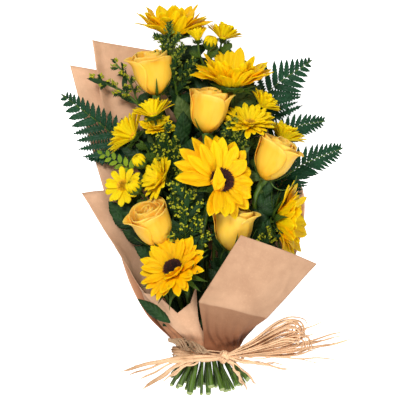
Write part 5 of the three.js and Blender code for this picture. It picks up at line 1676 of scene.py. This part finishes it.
def make_floor(stage):
    """The floor glows a little and casts no light up, so that it stays an even pale tone."""
    finish = Finish("floor", 0.9, Specular_IOR_Level=0.1, Emission_Strength=FLOOR_GLOW)
    finish.shader.inputs["Base Color"].default_value = (*stage.floor, 1.0)
    finish.shader.inputs["Emission Color"].default_value = (1.0, 1.0, 1.0, 1.0)
    half = FLOOR_SIZE / 2
    mesh = bpy.data.meshes.new("floor")
    corners = [(x, y, -FLOOR_DROP) for x, y in ((-half, -half), (half, -half), (half, half), (-half, half))]
    mesh.from_pydata(corners, [], [(0, 1, 2, 3)])
    mesh.materials.append(finish.material)
    floor = new_object("floor", mesh)
    floor.visible_diffuse = False


def make_lights():
    """Two soft round lamps that point at the bouquet, and an even pale sky."""
    for name, (at, size, power) in LIGHTS.items():
        data = bpy.data.lights.new(name, "AREA")
        data.shape = "DISK"
        data.size, data.energy, data.color = size, power, LAMP_COLOUR
        light = new_object(name, data)
        light.location = at
        light.rotation_euler = (-Vector(at)).to_track_quat("-Z", "Y").to_euler()
    world = bpy.data.worlds.new("studio")
    world.use_nodes = True
    sky = world.node_tree.nodes["Background"].inputs
    sky["Color"].default_value = SKY_COLOUR
    sky["Strength"].default_value = SKY_STRENGTH
    bpy.context.scene.world = world
    bpy.context.scene.view_settings.view_transform = "Standard"


def make_camera(stage):
    """A camera straight above the bouquet, as high and as wide as the stage says."""
    data = bpy.data.cameras.new("camera")
    data.sensor_width = SENSOR
    data.lens = SENSOR * stage.distance / stage.field
    camera = new_object("camera", data)
    camera.location = (SHIFT[0], SHIFT[1], stage.distance + BLOOM_HEIGHT)
    bpy.context.scene.camera = camera


# ---- operators
class BOUQUET_OT_finishes(Operator):
    """Makes the finishes that the pieces share"""

    bl_idname = "bouquet.finishes"
    bl_label = "Finishes"

    def execute(self, context):
        blooms, foliage, wrap = context.scene.blooms, context.scene.foliage, context.scene.wrap
        FINISH.update({
            "ray": petal_finish("sunflower petal", blooms.sunflower_root, blooms.sunflower, (1.0, 0.68, 0.0),
                                vein=0.4),
            "disc": disc_finish("sunflower disc", shade(blooms.disc, 0.6), blooms.disc, (0.16, 0.03, 0.006)),
            "rose": petal_finish("rose petal", (0.90, 0.38, 0.01), blooms.rose, blooms.rose_lip,
                                 streaks=3.0, roughness=0.48, root_reach=0.3, vein=0.45),
            "strap": petal_finish("daisy petal", blooms.daisy_root, blooms.daisy, (1.0, 0.70, 0.006),
                                  streaks=6.0, root_reach=0.3, vein=0.35),
            "eye": floret_finish("daisy eye", (0.55, 0.30, 0.0), (1.0, 0.56, 0.005)),
            "goldenrod": floret_finish("goldenrod floret", (0.12, 0.17, 0.008), foliage.goldenrod),
            "green goldenrod": floret_finish("green goldenrod floret", (0.06, 0.10, 0.006),
                                             (0.26, 0.30, 0.006)),
        })
        stem, fern, leaf = foliage.stem, foliage.fern, foliage.leaf
        FINISH.update({
            "stem": stem_finish("stem", shade(stem, 0.3), shade(stem, 0.85), (0.45, 0.55, 0.28)),
            "cut": stem_finish("cut stem", (0.34, 0.44, 0.12), (0.50, 0.55, 0.24), (0.5, 0.6, 0.3)),
            "sprig": stem_finish("sprig", shade(stem, 0.3), shade(stem, 0.8), (0.3, 0.4, 0.1)),
            "sepal": leaf_finish("sepal", shade(stem, 0.2), shade(stem, 0.5), (0.16, 0.28, 0.07)),
            "fern": leaf_finish("fern", shade(fern, 0.6), fern, shade(fern, 1.6), veins=4.0),
            "leaf": leaf_finish("leaf", shade(leaf, 0.35), shade(leaf, 1.2), (0.06, 0.13, 0.04)),
            "pale leaf": leaf_finish("pale leaf", (0.04, 0.08, 0.015), (0.09, 0.14, 0.03),
                                     (0.15, 0.21, 0.06)),
            "fresh leaf": leaf_finish("fresh leaf", (0.08, 0.17, 0.006), (0.20, 0.30, 0.01),
                                      (0.3, 0.4, 0.05)),
            "paper": paper_finish("kraft paper", wrap.light, wrap.dark, shade(wrap.light, 1.15)),
            "raffia": raffia_finish("raffia", wrap.raffia, (0.42, 0.21, 0.09)),
            # The hank's raffia, darkened all over as painted shade.
            "old raffia": raffia_finish("old raffia", shade(wrap.raffia, 0.5), (0.16, 0.08, 0.035)),
        })
        return {"FINISHED"}


class BOUQUET_OT_sunflowers(Operator):
    """Makes the sunflowers: rays, discs, bracts and stalks"""

    bl_idname = "bouquet.sunflowers"
    bl_label = "Sunflowers"

    def execute(self, context):
        for k, bloom in enumerate(SUNFLOWERS):
            ray_petals(k, bloom, context.scene.blooms)
            sunflower_disc(k, bloom)
            sunflower_green(k, bloom)
        return {"FINISHED"}


class BOUQUET_OT_roses(Operator):
    """Makes the roses: flowers, sepals, stalks and leaves"""

    bl_idname = "bouquet.roses"
    bl_label = "Roses"

    def execute(self, context):
        for k, bloom in enumerate(ROSES):
            rose(k, bloom, context.scene.blooms)
            rose_green(k, bloom)
        return {"FINISHED"}


class BOUQUET_OT_daisies(Operator):
    """Makes the daisy sprays: blooms, buds, stalks and lobed leaves"""

    bl_idname = "bouquet.daisies"
    bl_label = "Daisies"

    def execute(self, context):
        for k, spray in enumerate(DAISY_SPRAYS):
            daisy_spray(k, spray, context.scene.blooms)
        return {"FINISHED"}


class BOUQUET_OT_goldenrod(Operator):
    """Makes the goldenrod: stalks, florets and narrow leaves"""

    bl_idname = "bouquet.goldenrod"
    bl_label = "Goldenrod"

    def execute(self, context):
        for k, spray in enumerate(GOLDENRODS):
            goldenrod(k, spray, context.scene.foliage)
        return {"FINISHED"}


class BOUQUET_OT_foliage(Operator):
    """Makes the fern fronds, the leafy twigs, the leaves between the blooms and the stems' cut ends"""

    bl_idname = "bouquet.foliage"
    bl_label = "Ferns and leaves"

    def execute(self, context):
        for k, frond in enumerate(FERNS):
            fern(k, frond)
        for k, twig in enumerate(TWIGS):
            leafy_twig(k, twig)
        plain_leaves()
        fill_leaves()
        cut_ends()
        return {"FINISHED"}


class BOUQUET_OT_paper(Operator):
    """Makes the sheets of the paper wrap"""

    bl_idname = "bouquet.paper"
    bl_label = "Paper"

    def execute(self, context):
        for k, (name, sheet) in enumerate(SHEETS.items()):
            paper_sheet(k, name, sheet, context.scene.wrap)
        return {"FINISHED"}


class BOUQUET_OT_raffia(Operator):
    """Makes the raffia's windings, knot, loops and loose ends"""

    bl_idname = "bouquet.raffia"
    bl_label = "Raffia"

    def execute(self, context):
        raffia_band(context.scene.wrap)
        raffia_bow(context.scene.wrap)
        return {"FINISHED"}


class BOUQUET_OT_stage(Operator):
    """Sets the floor, the lights and the camera"""

    bl_idname = "bouquet.stage"
    bl_label = "Stage"

    def execute(self, context):
        stage = context.scene.stage
        make_floor(stage)
        make_lights()
        make_camera(stage)
        return {"FINISHED"}


STEPS = (
    BOUQUET_OT_finishes, BOUQUET_OT_stage, BOUQUET_OT_sunflowers, BOUQUET_OT_roses, BOUQUET_OT_daisies,
    BOUQUET_OT_goldenrod, BOUQUET_OT_foliage, BOUQUET_OT_paper, BOUQUET_OT_raffia,
)
GROUPS = {"blooms": BouquetBlooms, "foliage": BouquetFoliage, "wrap": BouquetWrap, "stage": BouquetStage}


class BOUQUET_PT_panel(Panel):
    """The bouquet's sizes, colours and steps in the sidebar"""

    bl_idname = "BOUQUET_PT_panel"
    bl_label = "Mixed bouquet"
    bl_space_type = "VIEW_3D"
    bl_region_type = "UI"
    bl_category = "Bouquet"

    def draw(self, context):
        for name in GROUPS:
            box = self.layout.box()
            box.label(text=name.capitalize())
            group = getattr(context.scene, name)
            for key in group.__annotations__:
                box.prop(group, key)
        for step in STEPS:
            self.layout.operator(step.bl_idname)


def register():
    for group in GROUPS.values():
        bpy.utils.register_class(group)
    for step in (*STEPS, BOUQUET_PT_panel):
        bpy.utils.register_class(step)
    for name, group in GROUPS.items():
        setattr(bpy.types.Scene, name, bpy.props.PointerProperty(type=group))


def unregister():
    for name in GROUPS:
        delattr(bpy.types.Scene, name)
    for cls in (BOUQUET_PT_panel, *reversed(STEPS), *GROUPS.values()):
        bpy.utils.unregister_class(cls)


def main():
    """Makes the whole bouquet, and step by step."""
    register()
    for step in STEPS:
        family, name = step.bl_idname.split(".")
        getattr(getattr(bpy.ops, family), name)()


if __name__ == "__main__":
    main()
